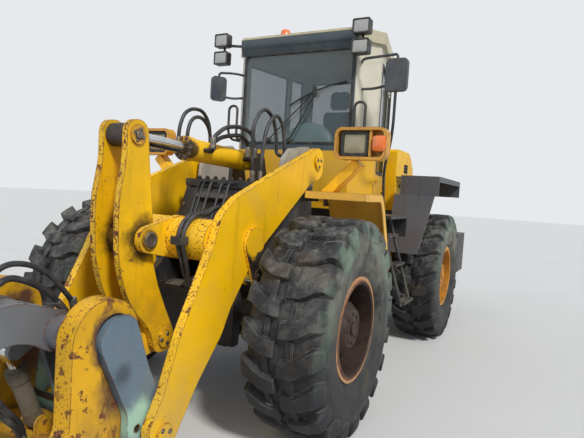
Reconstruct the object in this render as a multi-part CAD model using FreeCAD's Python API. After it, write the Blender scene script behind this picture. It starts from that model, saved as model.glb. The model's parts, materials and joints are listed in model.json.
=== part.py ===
import FreeCAD, Part
import math
import os

# Articulated wheel loader with a quick coupler and a log fork, in millimetres.
# X runs forward, Y to the machine's left, Z up. While it is modelled, X is measured from the
# articulation axis; each solid is moved by -MID_X when it is written, so that the origin is on
# the ground under the middle of the machine.
V = FreeCAD.Vector
X_AXIS, Y_AXIS, Z_AXIS = V(1, 0, 0), V(0, 1, 0), V(0, 0, 1)
LEFT_RIGHT = (("left", 1), ("right", -1))
FRONT_REAR = (("front", 1), ("rear", -1))

# Wheels
WHEELBASE = 3030.0
TRACK = 2040.0
TYRE_R = 742.0
TYRE_W = 520.0
TREAD_R = 700.0
RIM_R = 356.0
RIM_SEAT_R = 322.0
RIM_W = 430.0
RIM_WALL = 16.0
DISC_T = 24.0
HUB_R = 175.0
LUGS = 20
LUG_SPAN = 235.0
LUG_W = 92.0
LUG_LEAN = 26.0

# Axles
AXLE_X = WHEELBASE / 2
AXLE_Z = TYRE_R
AXLE_END_R = 95.0
AXLE_TUBE_R = 130.0
AXLE_END_LENGTH = 60.0
TRUNNION_R = 60.0
TRUNNION_X = 260.0
TRUNNION_PLATE_T = 40.0

# Ends of the machine
REAR_END = -3350.0
TINE_TIP = 4050.0
MID_X = (REAR_END + TINE_TIP) / 2

# Pins of the loader linkage, X and Z at rest
BOOM_PIVOT = (825.0, 1900.0)
TOOL_PIN = (2590.0, 262.0)
BELL_PIVOT = (2385.0, 1290.0)
BELL_TOP = (2465.0, 1920.0)
BELL_FOOT = (2150.0, 612.0)
LINK_PIN = (2640.0, 520.0)
LIFT_BASE = (365.0, 780.0)
LIFT_EYE = (1715.0, 1040.0)
TILT_BASE = (1080.0, 1872.0)
CROSS_TUBE = (2110.0, 1295.0)
CLAMP_PIVOT = (3050.0, 885.0)
CLAMP_CYL_BASE = (2985.0, 345.0)
CLAMP_CYL_EYE = (3150.0, 770.0)

# Shared fits
RUN_GAP = 0.08
SIDE_GAP = 6.0
PIN_R = 38.0
CAP_R = 58.0
CAP_T = 14.0

# Boom
ARM_Y = 510.0
ARM_T = 60.0
CROSS_R = 135.0
EAR_T = 25.0
BELL_PLATE_Y = 98.0
BELL_PLATE_T = 44.0
BRACKET_Y = 152.0
BRACKET_T = 44.0
BRACKET_R = 82.0

# Coupler, fork and clamp
COUPLER_Y = 440.0
COUPLER_T = 50.0
COUPLER_TOP = (2882.0, 856.0)
COUPLER_TOP_R = 102.0
COUPLER_HOLE = (2715.0, 322.0)
COUPLER_TUBE_R = 60.0
FORK_Y = 392.0
FORK_T = 116.0
FORK_TOP = (2925.0, 850.0)
FORK_TOP_R = 205.0
FORK_FRONT_X = 3130.0
DECK_Z = (255.0, 290.0)
POCKET_GAP = 16.0
TINE_W = 110.0
CLAMP_SHAFT_R = 58.0
CLAMP_TUBE_R = 84.0
CLAMP_ARM_Y = 230.0
CLAMP_PIN_R = 25.0

# Frames
FRONT_PLATE_Y = 400.0
FRONT_PLATE_T = 42.0
FRONT_REAR_X = 310.0
TOWER_Y = 340.0
HITCH_PIN_R = 45.0
HITCH_LUG_R = 115.0
HITCH_LUG_T = 50.0
HITCH_Z = (500.0, 1180.0)
HITCH_GAP = 4.0
NECK_Y = 200.0
NECK_T = 40.0
NECK_END_X = -800.0
REAR_PLATE_Y = 370.0
REAR_PLATE_T = 30.0
BULKHEAD_T = 40.0
BEARER_T = 50.0

# Steering
STEER_BASE = (-700.0, 430.0)
STEER_EYE = (215.0, 300.0)
STEER_Z = 760.0
STEER_LUG_Z = 62.0

# Ladders, Y and Z
LADDER_FOOT = (1110.0, 600.0)
LADDER_TOP = (880.0, 1450.0)

# Cab
BEACON_AT = (100.0, -260.0)
CAB_FRONT_X = 295.0
CAB_CORNER_X = 70.0
CAB_BACK_X = -1050.0
CAB_BACK_Y = 560.0
CAB_FRONT_Y = 610.0
CAB_SIDE_Y = 785.0
CAB_FLOOR_Z = 1500.0
CAB_SILL_Z = 2130.0
CAB_TOP_Z = 3080.0
CAB_WALL = 45.0
CAB_HEAD = 70.0
ROOF_T = 110.0
ROOF_OVER = 35.0
GLASS_T = 6.0
DOOR_SPAN = (90.0, 760.0)
DOOR_GAP = 6.0
PILLAR = 90.0
CAB_MOUNT_Y = 380.0
WALL_LEAN = math.degrees(math.atan2(CAB_SIDE_Y - CAB_BACK_Y, CAB_CORNER_X - CAB_BACK_X))
WALL_LENGTH = math.hypot(CAB_SIDE_Y - CAB_BACK_Y, CAB_CORNER_X - CAB_BACK_X)
HINGE_OUT = 12.0
HINGE_R = 12.0
HINGE_PIN_R = 6.0
HINGE_Z = (1720.0, 2780.0)
KNUCKLE_Z = 20.0

# Fenders
FENDER_IN_Y = 803.0
FENDER_OUT_Y = 1229.0
FENDER_SHEET = 12.0
FENDER_EDGE = 55.0
FRONT_FENDER_IN_Y = 702.0
FRONT_FENDER_OUT_Y = 1165.0
FENDER_TOP_Z = 1655.0
LAMP_X = 1100.0
LAMP_Y = 1030.0
LAMP_Z = 2030.0

# Hood and counterweight
HOOD_FRONT_X = -1185.0
HOOD_BACK_X = -3060.0
HOOD_Y = 640.0
HOOD_LOW_Z = 1950.0
HOOD_TOP_Z = 2230.0
HOOD_STEP_X = (-1650.0, -1940.0)
HOOD_WALL = 12.0
GRILLE_Y = 470.0
GRILLE_Z = (1300.0, 1780.0)
# Each side vent: rear end in X, length, lower and upper edge, pitch of its slats
SIDE_VENTS = ((-2850, 300, 1400, 1720, 58), (-2480, 300, 1400, 1720, 58), (-1700, 180, 1960, 2070, 36))
WEIGHT_FRONT_X = -2620.0
ENGINE_BACK_X = -2700.0
ENGINE_FRONT_X = -1700.0
ENGINE_Y = 300.0
ENGINE_Z = (990.0, 1800.0)
WEIGHT_Y = 1180.0
WEIGHT_BASE_Z = 640.0
WEIGHT_TOP_Z = 1190.0
HOOD_BASE_Z = WEIGHT_TOP_Z
TOW_HOLE_R = 24.0


def box(x0, x1, y0, y1, z0, z1):
    return Part.makeBox(x1 - x0, y1 - y0, z1 - z0, V(x0, y0, z0))


def rod_y(at, r, y0, y1):
    return Part.makeCylinder(r, y1 - y0, V(at[0], y0, at[1]), Y_AXIS)


def rod_z(at, r, z0, z1):
    return Part.makeCylinder(r, z1 - z0, V(at[0], at[1], z0), Z_AXIS)


def rod_between(a, b, r):
    start, end = V(*a), V(*b)
    return Part.makeCylinder(r, (end - start).Length, start, end - start)


def plate_y(points, y_mid, thick):
    """A flat plate with an outline in X and Z, standing about y_mid."""
    ring = [V(x, y_mid - thick / 2, z) for x, z in points]
    face = Part.Face(Part.makePolygon(ring + ring[:1]))
    return face.extrude(V(0, thick, 0))


def rounded(points):
    """A closed wire in X and Z whose corners are arcs; each point is its X, its Z and its radius."""
    corners = []
    for i, (x, z, r) in enumerate(points):
        here = V(x, 0, z)
        before, after = points[i - 1], points[(i + 1) % len(points)]
        back = (V(before[0], 0, before[1]) - here).normalize()
        on = (V(after[0], 0, after[1]) - here).normalize()
        half = math.acos(max(-1.0, min(1.0, back.dot(on)))) / 2
        reach = r / math.tan(half)
        middle = (back + on).normalize()
        corners.append((here + back * reach, here + middle * (r / math.sin(half) - r), here + on * reach))
    edges = []
    for (_, _, start), (end, crest, after) in zip(corners[-1:] + corners[:-1], corners):
        if start.distanceToPoint(end) > 0.01:
            edges.append(Part.LineSegment(start, end).toShape())
        if end.distanceToPoint(after) > 0.01:
            edges.append(Part.Arc(end, crest, after).toShape())
    return Part.Wire(edges)


def plate(points, y_mid, thick):
    """A flat plate with a rounded outline in X and Z, standing about y_mid."""
    face = Part.Face(rounded(points))
    return face.extrude(V(0, thick, 0)).translated(V(0, y_mid - thick / 2, 0))


def hose(points, r):
    """A round hose or pipe along straight runs, with an arc at each inner point."""
    route = [V(*p) for p in points]
    edges, start = [], route[0]
    for before, here, after in zip(route, route[1:], route[2:]):
        back, on = before - here, after - here
        short = min(back.Length, on.Length)
        back.normalize()
        on.normalize()
        half = math.acos(max(-1.0, min(1.0, back.dot(on)))) / 2
        reach = 0.45 * short
        bend = reach * math.tan(half)
        middle = (back + on).normalize()
        first, last = here + back * reach, here + on * reach
        edges.append(Part.LineSegment(start, first).toShape())
        edges.append(Part.Arc(first, here + middle * (bend / math.sin(half) - bend), last).toShape())
        start = last
    edges.append(Part.LineSegment(start, route[-1]).toShape())
    ring = Part.Wire([Part.makeCircle(r, route[0], route[1] - route[0])])
    return Part.Wire(edges).makePipeShell([ring], True, False)


def slab_z(points, z0, z1):
    """A flat slab with an outline in X and Y."""
    ring = [V(x, y, z0) for x, y in points]
    face = Part.Face(Part.makePolygon(ring + ring[:1]))
    return face.extrude(V(0, 0, z1 - z0))


def band(a, b, ra, rb):
    """The outline round two circles in X and Z, as a closed wire of two tangent lines and two arcs."""
    dx, dz = b[0] - a[0], b[1] - a[1]
    dist = math.hypot(dx, dz)
    heading = math.atan2(dz, dx)
    lean = math.acos((ra - rb) / dist)
    up, down = heading + lean, heading - lean
    mid_a, mid_b = heading + math.pi, heading

    def on(c, r, angle):
        return V(c[0] + r * math.cos(angle), 0, c[1] + r * math.sin(angle))

    edges = [
        Part.LineSegment(on(a, ra, up), on(b, rb, up)).toShape(),
        Part.Arc(on(b, rb, up), on(b, rb, mid_b), on(b, rb, down)).toShape(),
        Part.LineSegment(on(b, rb, down), on(a, ra, down)).toShape(),
        Part.Arc(on(a, ra, down), on(a, ra, mid_a), on(a, ra, up)).toShape(),
    ]
    return Part.Wire(edges)


def lever(a, b, ra, rb, y_mid, thick):
    """A plate between two eyes of different size."""
    face = Part.Face(band(a, b, ra, rb))
    return face.extrude(V(0, thick, 0)).translated(V(0, y_mid - thick / 2, 0))


def fuse(*shapes):
    whole = shapes[0].fuse(list(shapes[1:])) if len(shapes) > 1 else shapes[0]
    return whole.removeSplitter()


def group(*shapes):
    return Part.makeCompound(list(shapes))


def mirror_y(shape):
    return shape.mirror(V(0, 0, 0), Y_AXIS)


def along(base, eye, u):
    """The point u millimetres from base towards eye, in X and Z."""
    reach = math.dist(base, eye)
    return (base[0] + (eye[0] - base[0]) * u / reach, base[1] + (eye[1] - base[1]) * u / reach)


def cylinder_pair(base, eye, y_mid, eye_w, barrel_r, rod_r, pin_r, eye_r, neck, end_gap, retract=0):
    """A hydraulic cylinder in an XZ plane: barrel with its base eye, and rod with its end eye.

    Both eyes stand off on flat necks, so that the round parts clear the plates beside them. At
    rest the rod can still go in by retract.
    """
    reach = math.dist(base, eye)
    gland = reach - end_gap
    half = eye_w / 2

    def at(u):
        x, z = along(base, eye, u)
        return (x, y_mid, z)

    bore_from = neck + 40
    barrel = fuse(
        rod_between(at(neck), at(gland), barrel_r),
        rod_between(at(gland - 70), at(gland - 4), barrel_r + 8),
        lever(base, along(base, eye, neck + 10), eye_r, eye_r * 0.8, y_mid, eye_w))
    barrel = barrel.cut(rod_between(at(bore_from), at(gland + 1), rod_r + RUN_GAP))
    barrel = barrel.cut(rod_y(base, pin_r + RUN_GAP, y_mid - half - 1, y_mid + half + 1))
    rod = fuse(
        rod_between(at(bore_from + 10 + retract), at(reach - neck), rod_r),
        lever(eye, along(base, eye, reach - neck - 10), eye_r, rod_r * 0.9, y_mid, eye_w))
    return barrel, rod


def tilt_cylinder():
    """The tilt cylinder's barrel and rod, between the tower's ears and the bellcrank's plates."""
    eye_w = 2 * (BELL_PLATE_Y - BELL_PLATE_T / 2 - SIDE_GAP)
    return cylinder_pair(TILT_BASE, BELL_TOP, 0, eye_w, 80, 42, PIN_R, 72, 100, 554, retract=250)


def tyre():
    """A tyre round the Y axis at the origin, with its bead seat on the rim."""
    half, rim_half = TYRE_W / 2, RIM_W / 2
    outline = [
        (RIM_SEAT_R + 2, -rim_half + RIM_WALL), (RIM_R + 12, -rim_half + RIM_WALL),
        (RIM_R + 70, -half + 12), (530, -half), (640, -half + 14), (TREAD_R, -half + 62),
        (TREAD_R + 18, 0),
        (TREAD_R, half - 62), (640, half - 14), (530, half), (RIM_R + 70, half - 12),
        (RIM_R + 12, rim_half - RIM_WALL), (RIM_SEAT_R + 2, rim_half - RIM_WALL),
    ]
    ring = [V(r, y, 0) for r, y in outline]
    face = Part.Face(Part.makePolygon(ring + ring[:1]))
    return face.revolve(V(0, 0, 0), Y_AXIS, 360)


def lugs():
    """Two rows of slanted tread bars, the right-hand row half a pitch behind the left-hand one."""
    bars = []
    for side in (1, -1):
        bar = box(TREAD_R - 30, TYRE_R, 6, LUG_SPAN, -LUG_W / 2, LUG_W / 2)
        bar.rotate(V(0, 0, 0), X_AXIS, LUG_LEAN)
        bar = bar.common(Part.makeCylinder(TYRE_R, TYRE_W, V(0, -TYRE_W / 2, 0), Y_AXIS))
        if side < 0:
            bar = mirror_y(bar)
        for step in range(LUGS):
            turned = bar.copy()
            turned.rotate(V(0, 0, 0), Y_AXIS, (step + 0.25 * (1 + side)) * 360.0 / LUGS)
            bars.append(turned)
    return bars


def rim():
    """A five-piece rim seen as one: barrel, two flanges, deep disc and planet hub."""
    half = RIM_W / 2
    barrel = Part.makeCylinder(RIM_SEAT_R, RIM_W, V(0, -half, 0), Y_AXIS)
    barrel = barrel.cut(Part.makeCylinder(RIM_SEAT_R - RIM_WALL, RIM_W, V(0, -half, 0), Y_AXIS))
    flange = Part.makeCylinder(RIM_R, RIM_WALL, V(0, half - RIM_WALL, 0), Y_AXIS)
    flange = flange.cut(Part.makeCylinder(RIM_SEAT_R - RIM_WALL, RIM_WALL, V(0, half - RIM_WALL, 0), Y_AXIS))
    disc = Part.makeCylinder(RIM_SEAT_R - 4, DISC_T, V(0, 20, 0), Y_AXIS)
    hub = Part.makeCylinder(HUB_R, 120, V(0, 20, 0), Y_AXIS)
    hub = hub.fuse(Part.makeCone(HUB_R, HUB_R - 45, 45, V(0, 140, 0), Y_AXIS))
    bore = Part.makeCylinder(AXLE_END_R + RUN_GAP, 100, V(0, 0, 0), Y_AXIS)
    return fuse(barrel, flange, mirror_y(flange), disc, hub).cut(bore)


def axle():
    """An axle housing about the origin: bowl, tubes, brake drums and hub spindles."""
    parts = [Part.makeSphere(235.0)]
    for _, side in LEFT_RIGHT:
        y0 = side * 150.0
        tube_end = TRACK / 2 - 170
        parts.append(Part.makeCylinder(AXLE_TUBE_R, tube_end - 150, V(0, y0, 0), V(0, side, 0)))
        parts.append(Part.makeCylinder(205.0, 130, V(0, side * (tube_end - 130), 0), V(0, side, 0)))
        spindle = TRACK / 2 + 20 + AXLE_END_LENGTH - tube_end
        parts.append(Part.makeCylinder(AXLE_END_R, spindle, V(0, side * tube_end, 0), V(0, side, 0)))
    return fuse(*parts)


def boom():
    """Two bent arms joined by the cross tube, with the bellcrank's brackets and the lift ears."""
    px, pz = BOOM_PIVOT
    tx, tz = TOOL_PIN
    outline = [
        (px - 10, pz + 125, 90), (px - 125, pz + 100, 90), (px - 115, pz - 135, 110), (px + 75, pz - 165, 300),
        (1694, 1205, 60), (1760, 1155, 60), (2004, 860, 200), (2089, 705, 200), (2309, 460, 60),
        (tx - 115, tz - 40, 60), (tx - 60, tz - 120, 90), (tx + 105, tz - 120, 95), (tx + 112, tz + 60, 90),
        (2604, 480, 120), (2474, 810, 300), (2309, 1110, 300), (2219, 1290, 300), (2150, 1465, 160),
        (1994, 1580, 200), (1464, 1785, 500),
    ]
    pieces = []
    for _, side in LEFT_RIGHT:
        arm = plate(outline, side * ARM_Y, ARM_T)
        arm = arm.cut(rod_y(BOOM_PIVOT, PIN_R + RUN_GAP, side * ARM_Y - ARM_T, side * ARM_Y + ARM_T))
        ears = []
        for offset in (-1, 1):
            y_ear = side * ARM_Y + offset * (ARM_T / 2 + EAR_T / 2)
            ear = lever(LIFT_EYE, (LIFT_EYE[0] + 70, LIFT_EYE[1] + 230), 75, 110, y_ear, EAR_T)
            cap_y = side * ARM_Y + offset * (ARM_T / 2 + EAR_T)
            cap = rod_y(LIFT_EYE, CAP_R, min(cap_y, cap_y + offset * CAP_T), max(cap_y, cap_y + offset * CAP_T))
            ears += [ear, cap]
        pin_in, pin_out = side * (COUPLER_Y - COUPLER_T / 2 - CAP_T), side * (ARM_Y + ARM_T / 2 + CAP_T)
        tool_pin = rod_y(TOOL_PIN, PIN_R, *sorted((pin_in, pin_out)))
        cap_out = rod_y(TOOL_PIN, CAP_R, *sorted((side * (ARM_Y + ARM_T / 2), pin_out)))
        pieces.append(fuse(arm, *ears, tool_pin, cap_out))
    inner = ARM_Y - ARM_T / 2
    tube = rod_y(CROSS_TUBE, CROSS_R, -inner, inner)
    caps = []
    for _, side in LEFT_RIGHT:
        pieces.append(lever(CROSS_TUBE, BELL_PIVOT, CROSS_R + 8, BRACKET_R, side * BRACKET_Y, BRACKET_T))
        face = side * (BRACKET_Y + BRACKET_T / 2)
        caps.append(rod_y(BELL_PIVOT, CAP_R, *sorted((face, face + side * CAP_T))))
    pivot = rod_y(BELL_PIVOT, PIN_R, -BRACKET_Y - BRACKET_T / 2, BRACKET_Y + BRACKET_T / 2)
    return fuse(tube, *pieces, pivot, *caps)


def bellcrank():
    """Two curved plates either side of the tilt rod and the link, with a tube round the pivot."""
    (tx, tz), (px, pz), (fx, fz) = BELL_TOP, BELL_PIVOT, BELL_FOOT
    outline = [
        (tx + 80, tz + 92, 78), (tx - 84, tz + 92, 80), (tx - 108, tz - 141, 400), (px - 63, pz + 243, 400),
        (px - 90, pz + 30, 300), (px - 98, pz - 152, 400), (px - 154, pz - 307, 500), (fx + 5, fz + 213, 400),
        (fx - 96, fz + 30, 100), (fx - 66, fz - 92, 76), (fx + 80, fz - 84, 76), (fx + 130, fz + 82, 300),
        (fx + 272, fz + 229, 600), (px + 112, pz - 344, 500), (px + 186, pz - 125, 700), (px + 200, pz + 151, 700),
        (tx + 116, tz - 362, 500), (tx + 78, tz - 157, 500),
    ]
    parts = []
    for _, side in LEFT_RIGHT:
        parts.append(plate(outline, side * BELL_PLATE_Y, BELL_PLATE_T))
        outer = side * (BELL_PLATE_Y + BELL_PLATE_T / 2)
        for at in (BELL_TOP, BELL_FOOT):
            parts.append(rod_y(at, CAP_R, *sorted((outer, outer + side * CAP_T))))
    inner = BELL_PLATE_Y - BELL_PLATE_T / 2
    hub = rod_y(BELL_PIVOT, 100, -inner, inner)
    body = fuse(*parts, hub)
    return body.cut(rod_y(BELL_PIVOT, PIN_R + RUN_GAP, -200, 200))


def tilt_link():
    """The link from the bellcrank's foot to the coupler."""
    half = BELL_PLATE_Y - BELL_PLATE_T / 2 - SIDE_GAP
    link = lever(BELL_FOOT, LINK_PIN, 78, 78, 0, 2 * half)
    return link.cut(rod_y(LINK_PIN, PIN_R + RUN_GAP, -half - 1, half + 1))


def coupler():
    """The grey quick coupler: two side plates on the tool pins, cross tubes and link lugs."""
    tx, tz = TOOL_PIN
    outline = [
        (COUPLER_TOP[0] + 48, COUPLER_TOP[1] + 108, 100), (COUPLER_TOP[0] - 118, COUPLER_TOP[1] + 100, 100),
        (COUPLER_TOP[0] - 238, COUPLER_TOP[1] - 223, 400), (tx - 122, tz + 50, 100), (tx - 85, tz - 125, 110),
        (tx + 190, tz - 120, 90), (tx + 195, tz + 150, 160), (COUPLER_TOP[0] + 110, COUPLER_TOP[1] - 20, 100),
    ]
    parts = []
    for _, side in LEFT_RIGHT:
        span = sorted((side * (COUPLER_Y - COUPLER_T), side * (COUPLER_Y + COUPLER_T)))
        face = plate(outline, side * COUPLER_Y, COUPLER_T).cut(rod_y(TOOL_PIN, PIN_R + RUN_GAP, *span))
        parts.append(face.cut(rod_y(COUPLER_HOLE, 17, *span)))
    inner = COUPLER_Y - COUPLER_T / 2
    lower_at = (TOOL_PIN[0] + 105, TOOL_PIN[1] + 10)
    parts.append(rod_y(COUPLER_TOP, COUPLER_TUBE_R, -inner, inner))
    for _, side in LEFT_RIGHT:
        parts.append(rod_y(lower_at, 48, *sorted((side * (BELL_PLATE_Y - 15), side * inner))))
        y = side * (BELL_PLATE_Y + 5)
        cap_at = side * (BELL_PLATE_Y + 25)
        parts += [lever(LINK_PIN, COUPLER_TOP, 70, 60, y, 40), lever(COUPLER_TOP, lower_at, 60, 50, y, 40),
                  lever(LINK_PIN, lower_at, 60, 50, y, 40),
                  rod_y(LINK_PIN, CAP_R, *sorted((cap_at, cap_at + side * CAP_T)))]
    parts.append(rod_y(LINK_PIN, PIN_R, -BELL_PLATE_Y, BELL_PLATE_Y))
    return fuse(*parts)


def fork_frame():
    """The yellow fork frame: round-topped side plates with a pocket for the coupler, deck and tines."""
    (cx, cz), r = FORK_TOP, FORK_TOP_R
    outline = [
        (cx + r, cz + r, r - 4), (cx - r, cz + r, r - 4), (cx - r + 12, cz - 250, 160), (2790, 60, 30),
        (FORK_FRONT_X + 180, 60, 10), (FORK_FRONT_X + 180, 250, 40), (FORK_FRONT_X, 420, 160),
    ]
    parts = []
    for _, side in LEFT_RIGHT:
        y = side * FORK_Y
        tine = plate([(3200, 60, 10), (TINE_TIP - 70, 60, 10), (TINE_TIP, 72, 10), (TINE_TIP, 98, 8),
                      (3520, 185, 300), (3200, 262, 30)], y, TINE_W)
        span_in = side * (FORK_Y - FORK_T)
        side_plate = fuse(plate(outline, y, FORK_T), tine)
        pocket_in = side * (COUPLER_Y - COUPLER_T / 2 - SIDE_GAP)
        pocket = lever((2640, 300), COUPLER_TOP, 210, COUPLER_TOP_R + POCKET_GAP, 0, FORK_T)
        pocket = pocket.translated(V(0, pocket_in + side * FORK_T / 2, 0))
        bore = rod_y(CLAMP_PIVOT, CLAMP_SHAFT_R + RUN_GAP, *sorted((span_in, side * FORK_Y)))
        parts.append(side_plate.cut(bore).cut(pocket))
    inner = FORK_Y - FORK_T / 2
    deck = box(2800, FORK_FRONT_X + 100, -inner, inner, *DECK_Z)
    lip = box(FORK_FRONT_X + 60, FORK_FRONT_X + 100, -inner, inner, 200, DECK_Z[0])
    beam = box(2900, 3100, -inner, inner, 100, 130)
    web = box(2960, 3000, -inner, inner, 130, DECK_Z[0])
    ears = [lever(CLAMP_CYL_BASE, (CLAMP_CYL_BASE[0] - 10, DECK_Z[1]), 40, 52, offset * 55, 20)
            for offset in (-1, 1)]
    pin = rod_y(CLAMP_CYL_BASE, CLAMP_PIN_R, -65, 65)
    return fuse(*parts, deck, lip, beam, web, *ears, pin).cut(coupler())


def clamp():
    """The clamp: a torque tube between the side plates, with two hubs and two curved arms."""
    inner = FORK_Y - FORK_T / 2 - SIDE_GAP
    shaft = rod_y(CLAMP_PIVOT, CLAMP_SHAFT_R, -FORK_Y + 10, FORK_Y - 10)
    tube = rod_y(CLAMP_PIVOT, CLAMP_TUBE_R, -inner, inner)
    hubs = [rod_y(CLAMP_PIVOT, 92, *sorted((side * 78, side * (CLAMP_ARM_Y + 27)))) for _, side in LEFT_RIGHT]
    px, pz = CLAMP_PIVOT
    outline = [
        (px - 92, pz + 76, 86), (px + 240, pz + 185, 260), (px + 640, pz + 60, 300), (px + 880, pz - 330, 300),
        (px + 915, pz - 610, 12), (px + 860, pz - 590, 30), (px + 730, pz - 350, 300), (px + 520, pz - 110, 260),
        (px + 230, pz + 20, 250), (px + 40, pz - 96, 90), (px - 96, pz - 96, 94),
    ]
    arms = [plate(outline, side * CLAMP_ARM_Y, 50) for _, side in LEFT_RIGHT]
    ties = [rod_y((px + x, pz + z), 35, -CLAMP_ARM_Y, CLAMP_ARM_Y) for x, z in ((590, -60), (800, -370))]
    return fuse(shaft, tube, *hubs, *arms, *ties)


def clamp_lugs():
    """The two lugs on the clamp's tube that hold the end of its cylinder rod."""
    lugs = [lever(CLAMP_CYL_EYE, CLAMP_PIVOT, 42, 90, offset * 62, 24) for offset in (-1, 1)]
    return group(*(lug.cut(clamp()) for lug in lugs))


def front_plates():
    """The front frame's two side plates, from the axle up to the boom pivots."""
    axle_x = AXLE_X
    outline = [
        (FRONT_REAR_X, 450, 20), (axle_x - 225, 450, 40), (axle_x - 185, 860, 60), (axle_x + 165, 860, 60),
        (axle_x + 195, 520, 20), (axle_x + 285, 520, 20), (axle_x + 285, 900, 60), (1500, 1180, 200),
        (1230, 1500, 200), (1190, 1900, 60), (1080, 1990, 80), (760, 2040, 60), (640, 1950, 60), (640, 1420, 150),
        (FRONT_REAR_X, 1240, 40),
    ]
    plates = [plate(outline, side * FRONT_PLATE_Y, FRONT_PLATE_T) for _, side in LEFT_RIGHT]
    return group(*(piece.cut(placed_axle(AXLE_X)) for piece in plates))


def frame_pins():
    """The boom's and the lift cylinders' pins on the front plates, each with its boss and end cap."""
    face = FRONT_PLATE_Y + FRONT_PLATE_T / 2
    boss_end, cap_from = ARM_Y - ARM_T / 2 - SIDE_GAP, ARM_Y + ARM_T / 2 + SIDE_GAP
    out = []
    for _, side in LEFT_RIGHT:
        for at in (BOOM_PIVOT, LIFT_BASE):
            out.append(fuse(rod_y(at, 80, *sorted((side * face, side * boss_end))),
                            rod_y(at, PIN_R, *sorted((side * face, side * (cap_from + CAP_T)))),
                            rod_y(at, CAP_R, *sorted((side * cap_from, side * (cap_from + CAP_T))))))
    return group(*out)


def front_frame():
    """What joins the front frame's plates: bulkheads, floor, hitch lugs, steering lugs and tilt ears."""
    inner = FRONT_PLATE_Y - FRONT_PLATE_T / 2
    parts = [box(FRONT_REAR_X, FRONT_REAR_X + 40, -inner, inner, 450, 1240),
             box(FRONT_REAR_X, AXLE_X - 225, -inner, inner, 450, 480),
             box(FRONT_REAR_X, 690, -inner, inner, 1210, 1240),
             box(650, 690, -inner, inner, 1240, 1640),
             box(650, 1140, -inner, inner, 1610, 1650),
             box(1100, 1140, -inner, inner, 480, 1650)]
    parts += [plate_y([(1560, 1150), (1640, 1150), (1425, 1680), (1140, 1680), (1140, 1630), (1380, 1630)],
                      0, 2 * TOWER_Y),
              box(1360, 1460, -TOWER_Y, TOWER_Y, 1640, 1700)]
    nose = box(AXLE_X + 240, AXLE_X + 285, -inner, inner, 520, 880)
    for z in HITCH_Z:
        low, high = z - HITCH_LUG_T / 2, z + HITCH_LUG_T / 2
        lug = fuse(rod_z((0, 0), HITCH_LUG_R, low, high),
                   slab_z([(0, -HITCH_LUG_R), (FRONT_REAR_X + 10, -250), (FRONT_REAR_X + 10, 250), (0, HITCH_LUG_R)],
                          low, high))
        parts.append(lug.cut(rod_z((0, 0), HITCH_PIN_R + RUN_GAP, low - 10, high + 10)))
    for offset in (-1, 1):
        parts.append(lever(TILT_BASE, (TILT_BASE[0] - 30, 1640), 75, 120, offset * 110, 40))
    parts.append(rod_y(TILT_BASE, PIN_R, -130, 130))
    for _, side in LEFT_RIGHT:
        for offset in (-1, 1):
            z = STEER_Z + offset * STEER_LUG_Z
            x, y = STEER_EYE[0], side * STEER_EYE[1]
            lug = fuse(rod_z((x, y), 48, z - 12, z + 12), box(x, FRONT_REAR_X + 5, y - 48, y + 48, z - 12, z + 12))
            parts.append(lug)
    return group(fuse(*parts).cut(placed_axle(AXLE_X)), nose)


def rear_rails():
    """The rear frame's two side plates, from the neck's bulkhead to the counterweight."""
    outline = [(NECK_END_X - BULKHEAD_T, 430), (NECK_END_X - BULKHEAD_T, 1250), (-2900, 1180), (-3050, 1100),
               (-3050, 640), (-1900, 640), (-1750, 930), (-1280, 930), (-1150, 430)]
    return group(*(plate_y(outline, side * REAR_PLATE_Y, REAR_PLATE_T) for _, side in LEFT_RIGHT))


def rear_members():
    """Cross members between the rails: tail, floor, engine bearers and the axle's cradle plates."""
    inner = REAR_PLATE_Y - REAR_PLATE_T / 2
    parts = [box(-2900, -2860, -inner, inner, 660, 1180),
             box(-1200, NECK_END_X - BULKHEAD_T, -inner, inner, 430, 460)]
    bearer_z = ENGINE_Z[0] - BEARER_T
    for x in (ENGINE_BACK_X + 60, ENGINE_FRONT_X - 150):
        parts.append(box(x, x + 60, -inner, inner, bearer_z, ENGINE_Z[0]))
    for sign in (-1, 1):
        x0, x1 = sorted((-AXLE_X + sign * TRUNNION_X, -AXLE_X + sign * (TRUNNION_X + TRUNNION_PLATE_T)))
        cradle = box(x0, x1, -inner, inner, AXLE_Z - 100, bearer_z)
        parts.append(cradle.cut(rod_between((x0 - 1, 0, AXLE_Z), (x1 + 1, 0, AXLE_Z), TRUNNION_R + RUN_GAP)))
    return group(*parts)


def rear_frame():
    """The rear frame's neck between the hitch pins and the bulkhead that carries the rails."""
    parts = []
    for _, side in LEFT_RIGHT:
        parts.append(plate_y([(-300, 430), (-300, 1250), (NECK_END_X, 1250), (NECK_END_X, 430)],
                             side * NECK_Y, NECK_T))
    inner = NECK_Y - NECK_T / 2
    parts.append(box(-340, -300, -inner, inner, 430, 1250))
    for z in HITCH_Z:
        for offset in (-1, 1):
            mid = z + offset * (HITCH_LUG_T / 2 + HITCH_GAP + 20)
            lug = fuse(rod_z((0, 0), HITCH_LUG_R, mid - 20, mid + 20),
                       slab_z([(0, -HITCH_LUG_R), (-310, -NECK_Y), (-310, NECK_Y), (0, HITCH_LUG_R)],
                              mid - 20, mid + 20))
            parts.append(lug)
        parts.append(rod_z((0, 0), HITCH_PIN_R, z - 85, z + 85))
    return fuse(*parts)


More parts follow.
